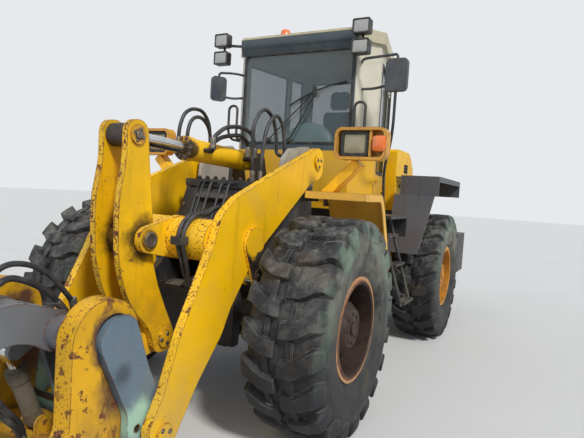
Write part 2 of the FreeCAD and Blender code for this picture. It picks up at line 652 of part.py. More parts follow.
def bulkhead():
    """The wall behind the neck, with the steering cylinders' rear lugs and pins."""
    half = STEER_BASE[1] + 50
    parts = [box(NECK_END_X - BULKHEAD_T, NECK_END_X, -half, half, 430, 1250)]
    for _, side in LEFT_RIGHT:
        x, y = STEER_BASE[0], side * STEER_BASE[1]
        for offset in (-1, 1):
            z = STEER_Z + offset * STEER_LUG_Z
            parts.append(fuse(rod_z((x, y), 50, z - 12, z + 12),
                              box(NECK_END_X - 5, x, y - 50, y + 50, z - 12, z + 12)))
        parts.append(rod_z((x, y), 30, STEER_Z - 85, STEER_Z + 85))
    return fuse(*parts)


def steering_pair(side):
    """A steering cylinder lies level, with upright pins at both ends."""
    base = (STEER_BASE[0], side * STEER_BASE[1])
    eye = (STEER_EYE[0], side * STEER_EYE[1])
    reach = math.dist(base, eye)
    gland = reach - 270

    def at(u):
        x, y = along(base, eye, u)
        return (x, y, STEER_Z)

    barrel = rod_between(at(30), at(gland), 42)
    barrel = fuse(barrel, rod_z(base, 44, STEER_Z - 34, STEER_Z + 34))
    barrel = barrel.cut(rod_between(at(110), at(gland + 1), 22 + RUN_GAP))
    barrel = barrel.cut(rod_z(base, 30 + RUN_GAP, STEER_Z - 45, STEER_Z + 45))
    rod = rod_between(at(320), at(reach - 25), 22)
    rod = fuse(rod, rod_z(eye, 40, STEER_Z - 32, STEER_Z + 32))
    return barrel, rod


def cab_outline(inset):
    """The cab's plan: narrow front, angled corners and sides that close in towards the rear."""
    fx, bx = CAB_FRONT_X - inset, CAB_BACK_X + inset
    fy, sy, by = CAB_FRONT_Y - inset * 0.6, CAB_SIDE_Y - inset, CAB_BACK_Y - inset * 0.8
    return [(bx, -by), (CAB_CORNER_X, -sy), (fx, -fy), (fx, fy), (CAB_CORNER_X, sy), (bx, by)]


def wall_box(s0, s1, d0, d1, z0, z1, side=1):
    """A box on a cab side: s back from the front corner, d in from the outer face, z up."""
    piece = box(-s1, -s0, -d1, -d0, z0, z1)
    piece.rotate(V(0, 0, 0), Z_AXIS, WALL_LEAN)
    piece.translate(V(CAB_CORNER_X, CAB_SIDE_Y, 0))
    return piece if side > 0 else mirror_y(piece)


def wall_point(s, d):
    """The plan position s back from the left front corner and d in from the outer face."""
    a = math.radians(WALL_LEAN)
    return (CAB_CORNER_X - s * math.cos(a) + d * math.sin(a), CAB_SIDE_Y - s * math.sin(a) - d * math.cos(a))


def door_hinges():
    """Two hinges at the door's rear edge: the pillar's lugs and pins, and the door's knuckles."""
    fixed, moving = [], []
    back = DOOR_SPAN[1]
    axis = wall_point(back, -HINGE_OUT)
    out = -HINGE_OUT - HINGE_R
    for z in HINGE_Z:
        for low, high in ((z - 2 * KNUCKLE_Z, z - KNUCKLE_Z - 1), (z + KNUCKLE_Z + 1, z + 2 * KNUCKLE_Z)):
            fixed.append(fuse(rod_z(axis, HINGE_R, low, high), wall_box(back, back + 40, out, 0, low, high)))
        fixed.append(rod_z(axis, HINGE_PIN_R, z - 2 * KNUCKLE_Z, z + 2 * KNUCKLE_Z))
        knuckle = fuse(rod_z(axis, HINGE_R, z - KNUCKLE_Z, z + KNUCKLE_Z),
                       wall_box(back - 50, back, out, 0, z - KNUCKLE_Z, z + KNUCKLE_Z))
        moving.append(knuckle.cut(rod_z(axis, HINGE_PIN_R + RUN_GAP, z - 50, z + 50)))
    return fixed, moving


def cab_shell():
    """Floor, lower walls and pillars of the cab, open where the windows and the door are."""
    outer = slab_z(cab_outline(0), CAB_FLOOR_Z, CAB_TOP_Z)
    inner = slab_z(cab_outline(CAB_WALL), CAB_FLOOR_Z + CAB_WALL, CAB_TOP_Z)
    shell = outer.cut(inner)
    top = CAB_TOP_Z - CAB_HEAD
    cuts = [box(CAB_FRONT_X - 200, CAB_FRONT_X + 10, -CAB_FRONT_Y + 25, CAB_FRONT_Y - 25, CAB_SILL_Z, top),
            box(CAB_BACK_X - 10, CAB_BACK_X + 200, -CAB_BACK_Y + PILLAR, CAB_BACK_Y - PILLAR, CAB_SILL_Z, top)]
    for _, side in LEFT_RIGHT:
        cuts.append(wall_box(DOOR_SPAN[1] + PILLAR / 2, WALL_LENGTH - PILLAR, -10, 100, CAB_SILL_Z, top, side))
        low = CAB_FLOOR_Z + CAB_WALL + 5 if side > 0 else CAB_SILL_Z
        cuts.append(wall_box(*DOOR_SPAN, -10, 100, low, top, side))
    fixed, _ = door_hinges()
    return fuse(shell.cut(group(*cuts)), *fixed)


def cab_glass():
    """Windscreen, rear screen and fixed side windows."""
    top = CAB_TOP_Z - CAB_HEAD
    inset = 14
    panes = [
        box(CAB_FRONT_X - inset - GLASS_T, CAB_FRONT_X - inset, -CAB_FRONT_Y + 25, CAB_FRONT_Y - 25, CAB_SILL_Z, top),
        box(CAB_BACK_X + inset, CAB_BACK_X + inset + GLASS_T, -CAB_BACK_Y + PILLAR, CAB_BACK_Y - PILLAR,
            CAB_SILL_Z, top),
    ]
    for _, side in LEFT_RIGHT:
        panes.append(wall_box(DOOR_SPAN[1] + PILLAR / 2, WALL_LENGTH - PILLAR, inset, inset + GLASS_T,
                              CAB_SILL_Z, top, side))
    panes.append(wall_box(*DOOR_SPAN, inset, inset + GLASS_T, CAB_SILL_Z, top, -1))
    return group(*panes)


def cab_door():
    """The left door: a framed panel with its window, hung at its rear edge."""
    z0, z1 = CAB_FLOOR_Z + CAB_WALL + 5 + DOOR_GAP, CAB_TOP_Z - CAB_HEAD - DOOR_GAP
    s0, s1 = DOOR_SPAN[0] + DOOR_GAP, DOOR_SPAN[1] - DOOR_GAP
    low = CAB_SILL_Z - 250
    leaf = wall_box(s0, s1, 0, CAB_WALL, z0, z1)
    window = wall_box(s0 + 60, s1 - 60, -10, 60, low, z1 - 60)
    pane = wall_box(s0 + 60, s1 - 60, 14, 14 + GLASS_T, low, z1 - 60)
    handle = wall_box(s0 + 40, s0 + 150, -25, 0, low - 80, low - 50)
    _, moving = door_hinges()
    return fuse(leaf.cut(window), handle, *moving), pane


def cab_roof():
    """The roof slab, overhanging the walls a little."""
    return slab_z(cab_outline(-ROOF_OVER), CAB_TOP_Z, CAB_TOP_Z + ROOF_T)


def seat():
    """The driver's seat as one plain closed form: base, cushion and back."""
    base = box(-760, -420, -180, 180, CAB_FLOOR_Z + CAB_WALL, 1900)
    cushion = box(-830, -330, -260, 260, 1900, 2030)
    back = box(-900, -790, -250, 250, 1960, 2660)
    return fuse(base, cushion, back)


def console():
    """Steering column, wheel and front dash."""
    dash = box(120, CAB_FRONT_X - CAB_WALL - 2, -420, 420, CAB_FLOOR_Z + CAB_WALL, 2060)
    column = rod_between((0, 0, CAB_FLOOR_Z + CAB_WALL), (-110, 0, 2200), 45)
    wheel = Part.makeTorus(190, 16)
    wheel.rotate(V(0, 0, 0), Y_AXIS, -22)
    wheel.translate(V(-112, 0, 2212))
    spokes = box(-190, 190, -14, 14, -8, 8)
    spokes.rotate(V(0, 0, 0), Y_AXIS, -22)
    spokes.translate(V(-112, 0, 2212))
    floor = box(-400, 400, -400, 400, CAB_FLOOR_Z - 100, CAB_FLOOR_Z + CAB_WALL)
    return fuse(dash, box(0, 125, -60, 60, 1800, 1860), column, wheel, spokes).cut(floor)


def hood_profile(wall):
    """The hood's outline in X and Z: high and rounded behind the cab, then lower to the rear end."""
    high, low = HOOD_TOP_Z - wall, HOOD_LOW_Z - wall
    front, back = HOOD_FRONT_X - wall, HOOD_BACK_X + wall
    base = HOOD_BASE_Z - (1 if wall else 0)
    step0, step1 = HOOD_STEP_X[0] + wall * 0.4, HOOD_STEP_X[1] + wall
    return [(front, base, 0.5), (front, high, 40), (step1, high, step0 - step1), (step1, low, 120),
            (back, low - 60, 110), (back, base, 0.5)]


def hood():
    """The engine hood: a thin shell with side openings, open below."""
    outer = plate(hood_profile(0), 0, 2 * HOOD_Y)
    shell = outer.cut(plate(hood_profile(HOOD_WALL), 0, 2 * (HOOD_Y - HOOD_WALL)))
    cuts = [box(HOOD_BACK_X - 10, HOOD_BACK_X + 40, -GRILLE_Y, GRILLE_Y, *GRILLE_Z)]
    for _, side in LEFT_RIGHT:
        y0, y1 = sorted((side * (HOOD_Y - 40), side * (HOOD_Y + 10)))
        cuts += [box(x, x + length, y0, y1, z0, z1) for x, length, z0, z1, _ in SIDE_VENTS]
    cuts.append(box(HOOD_FRONT_X - 2 * HOOD_WALL, HOOD_FRONT_X + 1, -420, 420, HOOD_BASE_Z - 1, 1300))
    return shell.cut(group(*cuts)).cut(exhaust())


def grilles():
    """The rear grille and the side louvres, each a frame filled with slats."""
    def louvre(x0, x1, y0, y1, z0, z1, step):
        bars = []
        z = z0
        while z + step * 0.5 <= z1:
            bars.append(box(x0, x1, y0, y1, z, z + step * 0.45))
            z += step
        if x1 - x0 > y1 - y0:
            bars += [box(x0, x0 + 20, y0, y1, z0, z1), box(x1 - 20, x1, y0, y1, z0, z1)]
        else:
            bars += [box(x0, x1, y0, y0 + 20, z0, z1), box(x0, x1, y1 - 20, y1, z0, z1)]
        return fuse(*bars)

    parts = [louvre(HOOD_BACK_X, HOOD_BACK_X + HOOD_WALL, -GRILLE_Y, GRILLE_Y, *GRILLE_Z, 62)]
    for _, side in LEFT_RIGHT:
        y0, y1 = sorted((side * (HOOD_Y - HOOD_WALL), side * HOOD_Y))
        parts += [louvre(x, x + length, y0, y1, z0, z1, step) for x, length, z0, z1, step in SIDE_VENTS]
    return group(*parts)


def counterweight():
    """The cast counterweight with chamfered corners and a towing slot."""
    plan = [(WEIGHT_FRONT_X, -WEIGHT_Y), (REAR_END + 160, -WEIGHT_Y), (REAR_END, -WEIGHT_Y + 260),
            (REAR_END, WEIGHT_Y - 260), (REAR_END + 160, WEIGHT_Y), (WEIGHT_FRONT_X, WEIGHT_Y),
            (WEIGHT_FRONT_X, 560), (-3050, 560), (-3050, -560), (WEIGHT_FRONT_X, -560)]
    body = slab_z(plan, WEIGHT_BASE_Z, WEIGHT_TOP_Z)
    slot = box(REAR_END - 10, REAR_END + 130, -90, 90, 700, 800)
    hole = rod_z((REAR_END + 65, 0), TOW_HOLE_R, 630, 900)
    return body.cut(slot.fuse(hole))


def rear_fenders():
    """Dark steel fenders over the rear wheels, with a sloping front panel and a plate to the hood."""
    out = []
    y_out = FENDER_OUT_Y
    for _, side in LEFT_RIGHT:
        top = box(-2150, -840, *sorted((side * FENDER_IN_Y, side * y_out)), 1893, 1905)
        front = box(-852, -840, *sorted((side * FENDER_IN_Y, side * y_out)), 1690, 1893)
        skirt = box(-2150, -840, *sorted((side * (y_out - 12), side * y_out)), 1845, 1893)
        rear = box(-2150, -2138, *sorted((side * FENDER_IN_Y, side * y_out)), 1700, 1893)
        slope = plate_y([(-852, 1690), (-840, 1690), (-700, 1050), (-712, 1050)], side * 965, 450)
        wedge = plate([(-860, 1700, 0.5), (-600, 1700, 0.5), (-600, 1040, 0.5), (-860, 1040, 0.5)], 0, 400)
        wedge = wedge.translated(V(0, side * (y_out + 161), 0))
        wedge.rotate(V(-840, side * (y_out - 39), 1690), X_AXIS, -side * 9.8)
        inner = box(-1930, -1200, *sorted((side * (HOOD_Y + 0.5), side * FENDER_IN_Y)), 1893, 1905)
        post = box(-1040, -840, *sorted((side * FENDER_IN_Y, side * (FENDER_IN_Y + 12))), 1440, 1893)
        out.append(fuse(top, front, skirt, rear, slope.cut(wedge), inner, post))
    return group(*out)


def ladders():
    """On each side a two-rail ladder that leans in from its foot to the platform."""
    out = []
    (y_foot, z_foot), (y_top, z_top) = LADDER_FOOT, LADDER_TOP
    for _, side in LEFT_RIGHT:
        rails = [rod_between((x - 120, side * y_foot, z_foot), (x, side * y_top, z_top), 16) for x in (-250, 60)]
        steps = []
        for z in (620, 980, 1260):
            part = (z_top - z) / (z_top - z_foot)
            x_mid, y_mid = -95 - 120 * part, side * (y_top + (y_foot - y_top) * part)
            steps.append(box(x_mid - 160, x_mid + 160, y_mid - 45, y_mid + 45, z, z + 25))
        out.append(fuse(*rails, *steps).cut(cab_mounts()))
    return group(*out)


def front_fenders():
    """Yellow fenders behind and over the front wheels: bent sheet, front lip and an outer flange."""
    bend = [(1352, FENDER_TOP_Z, 10), (965, FENDER_TOP_Z, 60), (888, 1550, 40), (768, 1306, 60), (706, 1116, 1),
            (720, 1112, 1), (781, 1300, 60), (900, 1541, 40), (972, FENDER_TOP_Z - FENDER_SHEET, 50),
            (1352, FENDER_TOP_Z - FENDER_SHEET, 1)]
    flange = [(1352, FENDER_TOP_Z, 8), (965, FENDER_TOP_Z, 60), (888, 1550, 40), (768, 1306, 60), (706, 1116, 1),
              (760, 1098, 1), (820, 1280, 60), (938, 1520, 40), (995, FENDER_TOP_Z - FENDER_EDGE, 30),
              (1352, FENDER_TOP_Z - FENDER_EDGE, 8)]
    out = []
    mid, wide = (FRONT_FENDER_IN_Y + FRONT_FENDER_OUT_Y) / 2, FRONT_FENDER_OUT_Y - FRONT_FENDER_IN_Y
    for _, side in LEFT_RIGHT:
        sheet = plate(bend, side * mid, wide)
        edge = plate(flange, side * (FRONT_FENDER_OUT_Y + FENDER_SHEET / 2), FENDER_SHEET)
        lip = box(1340, 1352, *sorted((side * FRONT_FENDER_IN_Y, side * FRONT_FENDER_OUT_Y)),
                  FENDER_TOP_Z - FENDER_EDGE, FENDER_TOP_Z)
        out.append(fuse(sheet, edge, lip))
    return group(*out)


def fender_arms():
    """From each front frame plate a square arm and a plate along it to the fender's inner edge."""
    face = FRONT_PLATE_Y + FRONT_PLATE_T / 2
    out = []
    for _, side in LEFT_RIGHT:
        arm = box(714, 770, *sorted((side * face, side * FRONT_FENDER_IN_Y)), 1570, 1640)
        run = box(714, 985, *sorted((side * (FRONT_FENDER_IN_Y - 12), side * FRONT_FENDER_IN_Y)), 1540, 1640)
        out.append(fuse(arm, run))
    return group(*out)


def ring_x(x0, x1, y_mid, z_mid, half_y, half_z, r, wall):
    """A rounded rectangular frame that faces along X, or a solid block where wall is nothing."""
    def block(inset):
        wide, high, bend = half_y - inset, half_z - inset, max(r - inset, 4)
        face = plate([(-wide, -high, bend), (wide, -high, bend), (wide, high, bend), (-wide, high, bend)], 0, x1 - x0)
        face.rotate(V(0, 0, 0), Z_AXIS, 90)
        return face.translated(V((x0 + x1) / 2, y_mid, z_mid))
    return block(0).cut(block(wall)) if wall else block(0)


def headlights():
    """Guarded lamps on slanted square posts that stand on the front fenders."""
    out = []
    for _, side in LEFT_RIGHT:
        y_mid = side * LAMP_Y
        guard = ring_x(LAMP_X - 45, LAMP_X + 55, y_mid, LAMP_Z, 205, 122, 60, 24)
        bar = box(LAMP_X + 15, LAMP_X + 45, *sorted((y_mid + side * 68, y_mid + side * 90)), LAMP_Z - 110, LAMP_Z + 110)
        lamp = ring_x(LAMP_X - 45, LAMP_X + 20, y_mid - side * 50, LAMP_Z, 108, 92, 26, 0)
        neck = ring_x(LAMP_X - 45, LAMP_X - 25, y_mid, LAMP_Z, 190, 110, 40, 0)
        signal = ring_x(LAMP_X - 30, LAMP_X + 60, y_mid + side * 152, LAMP_Z, 50, 55, 26, 0)
        post = box(-52, 52, -38, 38, -60, 340)
        post.rotate(V(0, 0, 0), X_AXIS, -side * 45)
        post = post.translated(V(LAMP_X - 50, side * 762, FENDER_TOP_Z))
        post = post.cut(box(600, 1600, -1300, 1300, 1400, FENDER_TOP_Z))
        out.append(fuse(guard, bar, lamp, neck, signal, post))
    return group(*out)


def mirrors():
    """Mirror heads on bent tubes at both front pillars; the right one is turned and hangs lower."""
    out = []
    # Each mirror: side, Y and Z of its middle, half width, half height, turn about Z
    for side, y_mid, z_mid, half_y, half_z, turn in ((1, 1050, 2705, 97, 140, 0), (-1, -845, 2665, 80, 125, 55)):
        head = ring_x(-22, 22, 0, 0, half_y, half_z, 40, 0)
        head.rotate(V(0, 0, 0), Z_AXIS, turn)
        head = head.translated(V(415, y_mid, z_mid))
        top = z_mid + half_z
        y_in = side * 640
        upper = hose([(200, y_in, top + 40), (330, y_in + side * 60, top + 45), (415, y_mid, top + 40),
                      (415, y_mid, top - 20)], 12)
        lower = hose([(200, y_in, z_mid - 60), (330, (y_in + y_mid) / 2, z_mid - 90), (415, y_mid, z_mid - 60)], 12)
        out.append(fuse(head, upper, lower).cut(slab_z(cab_outline(0), CAB_FLOOR_Z, CAB_TOP_Z)))
    return group(*out)


def side_boxes():
    """Yellow boxes low beside the cab: battery box on one side and tool box on the other."""
    out = []
    for _, side in LEFT_RIGHT:
        y0, y1 = sorted((side * 392, side * 735))
        out.append(box(-1240, -840, y0, y1, 620, 1180))
    return group(*out)


def cab_mounts():
    """What carries the cab over the rear frame, with the platform beside it on each side."""
    parts = [box(-1040, -940, -CAB_MOUNT_Y, CAB_MOUNT_Y, 1250, 1500),
             box(-1040, -940, -FENDER_IN_Y, FENDER_IN_Y, 1440, 1500),
             box(-460, -360, -CAB_MOUNT_Y, CAB_MOUNT_Y, 1250, 1500),
             box(-940, -460, -240, 240, 1250, 1300)]
    for _, side in LEFT_RIGHT:
        parts.append(box(-470, 130, *sorted((side * CAB_MOUNT_Y, side * 1010)), 1440, 1470))
        parts.append(box(-460, -420, *sorted((side * CAB_MOUNT_Y, side * 1010)), 1250, 1440))
    return fuse(*parts)


def roof_lamps():
    """Work lamps in pairs at the front corners of the roof and two at its rear."""
    parts = []
    # Each lamp: side, X, Y and Z of its middle
    for side, x, y, z in ((1, 375, 690, 3165), (1, 375, 690, 2985), (-1, 375, 845, 3165), (-1, 375, 845, 2985)):
        parts.append(ring_x(x - 40, x + 35, side * y, z, 82, 66, 16, 0))
    bars = []
    for side, y in ((1, 690), (-1, 845)):
        bars.append(rod_between((345, side * y, 2960), (345, side * y, 3240), 12))
        bars.append(rod_between((345, side * y, 3130), (200, side * 560, 3130), 14))
    front = [fuse(*parts[:2], *bars[:2]), fuse(*parts[2:], *bars[2:])]
    rear = [box(-1075, -1010, side * 430 - 70, side * 430 + 70, CAB_TOP_Z + ROOF_T, CAB_TOP_Z + ROOF_T + 120)
            for _, side in LEFT_RIGHT]
    cab = slab_z(cab_outline(-ROOF_OVER), CAB_FLOOR_Z, CAB_TOP_Z + ROOF_T)
    return group(*(lamp.cut(cab) for lamp in front), *rear)


def beacon():
    """The amber beacon on the roof, a low dome on a short foot."""
    top = CAB_TOP_Z + ROOF_T
    foot = rod_z(BEACON_AT, 62, top, top + 20)
    dome = Part.makeCone(58, 44, 85, V(*BEACON_AT, top + 20), Z_AXIS)
    return fuse(foot, dome)


def handrails():
    """Bent grab rails on the cab's front corners, and a tall one from the platform to the left mirror."""
    out = []
    for _, side in LEFT_RIGHT:
        points = [(230, 651, 2160), (330, 651, 2160), (330, 651, 2500), (330, 755, 2500), (330, 755, 2160),
                  (90, 755, 2160)]
        out.append(hose([(x, side * y, z) for x, y, z in points], 13).cut(cab_shell()))
    tall = hose([(415, 1050, 2560), (415, 1050, 2180), (120, 900, 1900), (60, 900, 1600), (60, 900, 1470)], 13)
    return group(*out, tall.cut(mirrors()))


def tilt_hoses():
    """Rubber hoses that loop over the tilt cylinder, with both ends in the sides of its barrel."""
    out = []
    barrel, _ = tilt_cylinder()
    # Each loop: its Y, its radius, and the X and Z of its points from front to rear
    for y, r, points in (
            (-150, 14, ((1793, 1900), (1793, 2060), (1745, 2175), (1659, 2225), (1530, 2232), (1440, 2150),
                        (1415, 2030), (1415, 1890))),
            (-115, 14, ((1738, 1898), (1738, 2051), (1695, 2145), (1595, 2175), (1500, 2125), (1452, 2025),
                        (1452, 1890))),
            (150, 16, ((1772, 1898), (1765, 1995), (1636, 2085), (1441, 2118), (1275, 2092), (1210, 2010),
                       (1210, 1880))),
            (115, 16, ((1721, 1896), (1721, 1960), (1632, 2010), (1507, 2040), (1370, 2060), (1262, 2010),
                       (1262, 1880)))):
        inner = math.copysign(70, y)
        route = [(points[0][0], inner, points[0][1])] + [(x, y, z) for x, z in points]
        route.append((points[-1][0], inner, points[-1][1]))
        out.append(hose(route, r).cut(barrel))
    return group(*out)


def tower_hoses():
    """Hoses that rise from the tower's top, loop over and go into the left front plate."""
    # Each loop: its Y, and the X and Z of its points
    tower, out = front_frame(), []
    for y, points in (
            (285, ((1430, 1700), (1455, 1938), (1463, 2125), (1375, 2245), (1288, 2276), (1171, 2225),
                   (1106, 2097), (1089, 1930))),
            (322, ((1385, 1700), (1373, 1909), (1335, 2105), (1255, 2210), (1163, 2249), (1071, 2183),
                   (1025, 2020), (1025, 1880)))):
        plate_in = FRONT_PLATE_Y - FRONT_PLATE_T / 2
        route = [(x, y, z) for x, z in points] + [(points[-1][0], plate_in, points[-1][1])]
        out.append(hose(route, 15).cut(tower))
    return group(*out)


def boom_pipes():
    """Two pipes from the left arm over the front of the cross tube and back into the arm, in a clamp."""
    inner = ARM_Y - ARM_T / 2
    reach = CROSS_R + 36
    ring = [(CROSS_TUBE[0] + reach * math.cos(math.radians(a)), CROSS_TUBE[1] + reach * math.sin(math.radians(a)))
            for a in (115, 75, 35, -5, -45)]
    pipes = []
    for y, back_x, low in ((300, 1780, 1010), (338, 1830, 950)):
        route = [(back_x, inner, 1500), (back_x, y, 1500), (back_x + 130, y, 1500)]
        route += [(x, y, z) for x, z in ring] + [(2170, y, low), (2170, inner, low)]
        pipes.append(hose(route, 14))
    mount = box(CROSS_TUBE[0] + CROSS_R - 20, CROSS_TUBE[0] + reach + 30, 275, 363, CROSS_TUBE[1] - 25, CROSS_TUBE[1] + 25)
    return fuse(*pipes, mount).cut(boom())


def tool_hoses():
    """Hoses from the coupler's upper tube that arch forward and come down to the fork's deck."""
    out = []
    for y, r, points in (
            (178, 14, ((2885, 880), (2920, 1000), (3058, 1159), (3165, 1220), (3290, 1235), (3420, 1120),
                       (3470, 930), (3420, 700), (3300, 540), (3190, 420), (3190, DECK_Z[1]))),
            (142, 16, ((2885, 880), (3025, 1052), (3136, 1125), (3261, 1168), (3350, 1080), (3390, 900),
                       (3340, 680), (3240, 520), (3150, 420), (3150, DECK_Z[1])))):
        out.append(hose([(x, y, z) for x, z in points], r).cut(coupler()))
    return group(*out)


def exhaust():
    """The exhaust stack and the air cleaner's cap over the hood."""
    stack = Part.makeCylinder(62, 620, V(-1750, -280, HOOD_TOP_Z - 80), Z_AXIS)
    cap = Part.makeCylinder(110, 150, V(-1500, 250, HOOD_TOP_Z + 160), Z_AXIS)
    neck = Part.makeCylinder(60, 260, V(-1500, 250, HOOD_TOP_Z - 80), Z_AXIS)
    return group(stack, fuse(neck, cap))


def tower_pipes():
    """Steel pipes down the front of the tower, and the valve block behind its top."""
    pipes = [hose([(1460, y, 1672), (1515, y, 1672), (1700, y, 1215), (1590, y, 1215)], 12)
             for y in (-150, -110, -40, 60, 130)]
    return group(*pipes).cut(front_frame())


def placed_axle(x):
    return axle().translated(V(x, 0, AXLE_Z))


def rear_axle():
    """The rear axle with the trunnion on which it rocks in the frame's cradle plates."""
    reach = TRUNNION_X + TRUNNION_PLATE_T + 20
    trunnion = rod_between((-AXLE_X - reach, 0, AXLE_Z), (-AXLE_X + reach, 0, AXLE_Z), TRUNNION_R)
    return fuse(placed_axle(-AXLE_X), trunnion)


def main():
    nodes = {}
    lift_w = ARM_T - 2 * SIDE_GAP
    lift = {side: cylinder_pair(LIFT_BASE, LIFT_EYE, side * ARM_Y, lift_w, 68, 36, PIN_R, 66, 115, 178)
            for _, side in LEFT_RIGHT}
    wheel_tyre = fuse(tyre(), *lugs())
    wheel_rim = rim()
    for end, sign in FRONT_REAR:
        for name, side in LEFT_RIGHT:
            spot = V(sign * AXLE_X, side * TRACK / 2, AXLE_Z)
            tyre_here, rim_here = wheel_tyre.copy(), wheel_rim.copy()
            if side < 0:
                tyre_here, rim_here = mirror_y(tyre_here), mirror_y(rim_here)
            nodes[f"tyre_{end}_{name}"] = tyre_here.translated(spot)
            nodes[f"rim_{end}_{name}"] = rim_here.translated(spot)
    for name, side in LEFT_RIGHT:
        nodes[f"lift_barrel_{name}"], nodes[f"lift_rod_{name}"] = lift[side]
        nodes[f"steer_barrel_{name}"], nodes[f"steer_rod_{name}"] = steering_pair(side)
    nodes["tilt_barrel"], nodes["tilt_rod"] = tilt_cylinder()
    nodes["tilt_hoses"] = tilt_hoses()
    nodes["clamp_barrel"], nodes["clamp_rod"] = cylinder_pair(
        CLAMP_CYL_BASE, CLAMP_CYL_EYE, 0, 80, 45, 25, CLAMP_PIN_R, 38, 60, 120)
    nodes["boom"] = boom()
    nodes["boom_pipes"] = boom_pipes()
    nodes["bellcrank"] = bellcrank()
    nodes["tilt_link"] = tilt_link()
    nodes["coupler"] = coupler()
    nodes["fork_frame"] = fork_frame()
    nodes["tool_hoses"] = tool_hoses()
    nodes["clamp"] = clamp()
    nodes["clamp_lugs"] = clamp_lugs()
    nodes["front_plates"] = front_plates()
    nodes["frame_fittings"] = group(frame_pins(), fender_arms())
    nodes["front_frame"] = front_frame()
    nodes["front_axle"] = placed_axle(AXLE_X)
    nodes["front_fenders"] = front_fenders()
    nodes["headlights"] = headlights()
    nodes["tower_pipes"] = group(tower_pipes(), tower_hoses())
    nodes["rear_frame"] = rear_frame()
    nodes["bulkhead"] = bulkhead()
    nodes["rear_rails"] = rear_rails()
    nodes["rear_members"] = rear_members()
    nodes["rear_axle"] = rear_axle()
    nodes["engine_block"] = box(ENGINE_BACK_X, ENGINE_FRONT_X, -ENGINE_Y, ENGINE_Y, *ENGINE_Z)
    nodes["counterweight"] = counterweight()
    nodes["hood"] = hood()
    nodes["grilles"] = grilles()
    nodes["exhaust"] = exhaust()
    nodes["rear_fenders"] = rear_fenders()
    nodes["ladders"] = group(ladders(), handrails())
    nodes["side_boxes"] = side_boxes()
    nodes["cab_mounts"] = cab_mounts()
    nodes["cab_shell"] = cab_shell()
    nodes["cab_roof"] = cab_roof()
    nodes["cab_glass"] = cab_glass()
    nodes["cab_door"], nodes["door_glass"] = cab_door()
    nodes["seat"] = seat()
    nodes["console"] = console()
    nodes["mirrors"] = mirrors()
    nodes["roof_lamps"] = group(roof_lamps(), beacon())
    os.makedirs("parts", exist_ok=True)
    for name, shape in nodes.items():
        placed = shape.translated(V(-MID_X, 0, 0))
        placed.exportStep(f"parts/{name}.step")
        print(f"{name:20s} solids {len(placed.Solids)} valid {placed.isValid()} volume {placed.Volume / 1e9:.4f}")


main()
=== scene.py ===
import json
import math

import bpy
from mathutils import Matrix, Vector


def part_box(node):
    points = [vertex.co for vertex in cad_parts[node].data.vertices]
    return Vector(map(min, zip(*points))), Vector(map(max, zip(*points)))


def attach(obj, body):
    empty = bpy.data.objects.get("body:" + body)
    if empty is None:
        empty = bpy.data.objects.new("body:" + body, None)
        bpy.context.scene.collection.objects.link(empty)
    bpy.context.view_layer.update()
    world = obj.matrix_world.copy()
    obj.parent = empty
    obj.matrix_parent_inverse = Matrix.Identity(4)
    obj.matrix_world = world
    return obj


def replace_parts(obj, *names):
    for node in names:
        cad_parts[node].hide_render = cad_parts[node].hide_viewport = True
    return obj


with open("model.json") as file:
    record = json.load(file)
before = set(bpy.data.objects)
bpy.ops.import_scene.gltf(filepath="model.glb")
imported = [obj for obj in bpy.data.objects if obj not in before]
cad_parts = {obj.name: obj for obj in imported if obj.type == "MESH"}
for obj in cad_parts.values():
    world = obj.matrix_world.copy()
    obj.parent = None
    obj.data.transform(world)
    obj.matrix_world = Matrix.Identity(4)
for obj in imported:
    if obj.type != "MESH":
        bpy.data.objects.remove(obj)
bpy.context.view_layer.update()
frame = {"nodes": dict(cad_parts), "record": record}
NODES = frame["nodes"]
SLOT_OF = {row["node"]: row["material_slot"] for row in frame["record"]["subparts"]}
SIDES = (("left", 1), ("right", -1))

# The source measures X from the steering axis, and the frame's origin lies this far ahead of it
HITCH_X = 350.0
# Pins as (x, z) and other places, in the same millimetres as at() takes
BOOM_PIVOT, LIFT_BASE, LIFT_EYE = (825, 1900), (365, 780), (1715, 1040)
BELL_PIVOT, BELL_TOP, BELL_FOOT = (2385, 1290), (2465, 1920), (2150, 612)
TOOL_PIN, TILT_BASE, TILT_GLAND = (2590, 262), (1080, 1872), (1912, 1888)
FRAME_CAP_Y, LIFT_CAP_Y, TOOL_CAP_Y, PIVOT_CAP_Y, BELL_FACE_Y = 560, 579, 554, 188, 134
AXLE_X, AXLE_Z, WHEEL_Y = 1515, 742, 1020
LAMP_X, LAMP_Y, LAMP_Z = 1100, 1030, 2030
HOOD_BACK_X, HOOD_Y, WEIGHT_BACK_X = -3060, 640, -3350
SCREEN_X, SCREEN_Z, REAR_GLASS_X, ROOF_Z = 293, 2570, -1048, 3210
# The cab's leaning side walls: front corner, and lean seen from above
WALL_X, WALL_Y, LEAN = 70, 785, math.atan2(225, 1120)
# In metres: tyre radius, hub face out from the wheel's middle
TYRE_R, HUB_Y = AXLE_Z / 1000, 0.185


def at(x, y, z):
    """A point in metres from millimetres measured from the steering axis."""
    return Vector(((x - HITCH_X) / 1000, y / 1000, z / 1000))


def on_pin(pin, y=0):
    """The point at y on a line across the machine, which is given as (x, z)."""
    return at(pin[0], y, pin[1])


def rgb(red, green, blue):
    """A colour as seen on a screen, 0 to 255, as the linear colour that a shader takes."""
    out = []
    for value in (red, green, blue):
        v = value / 255
        out.append(v / 12.92 if v <= 0.04045 else ((v + 0.055) / 1.055) ** 2.4)
    return (*out, 1.0)


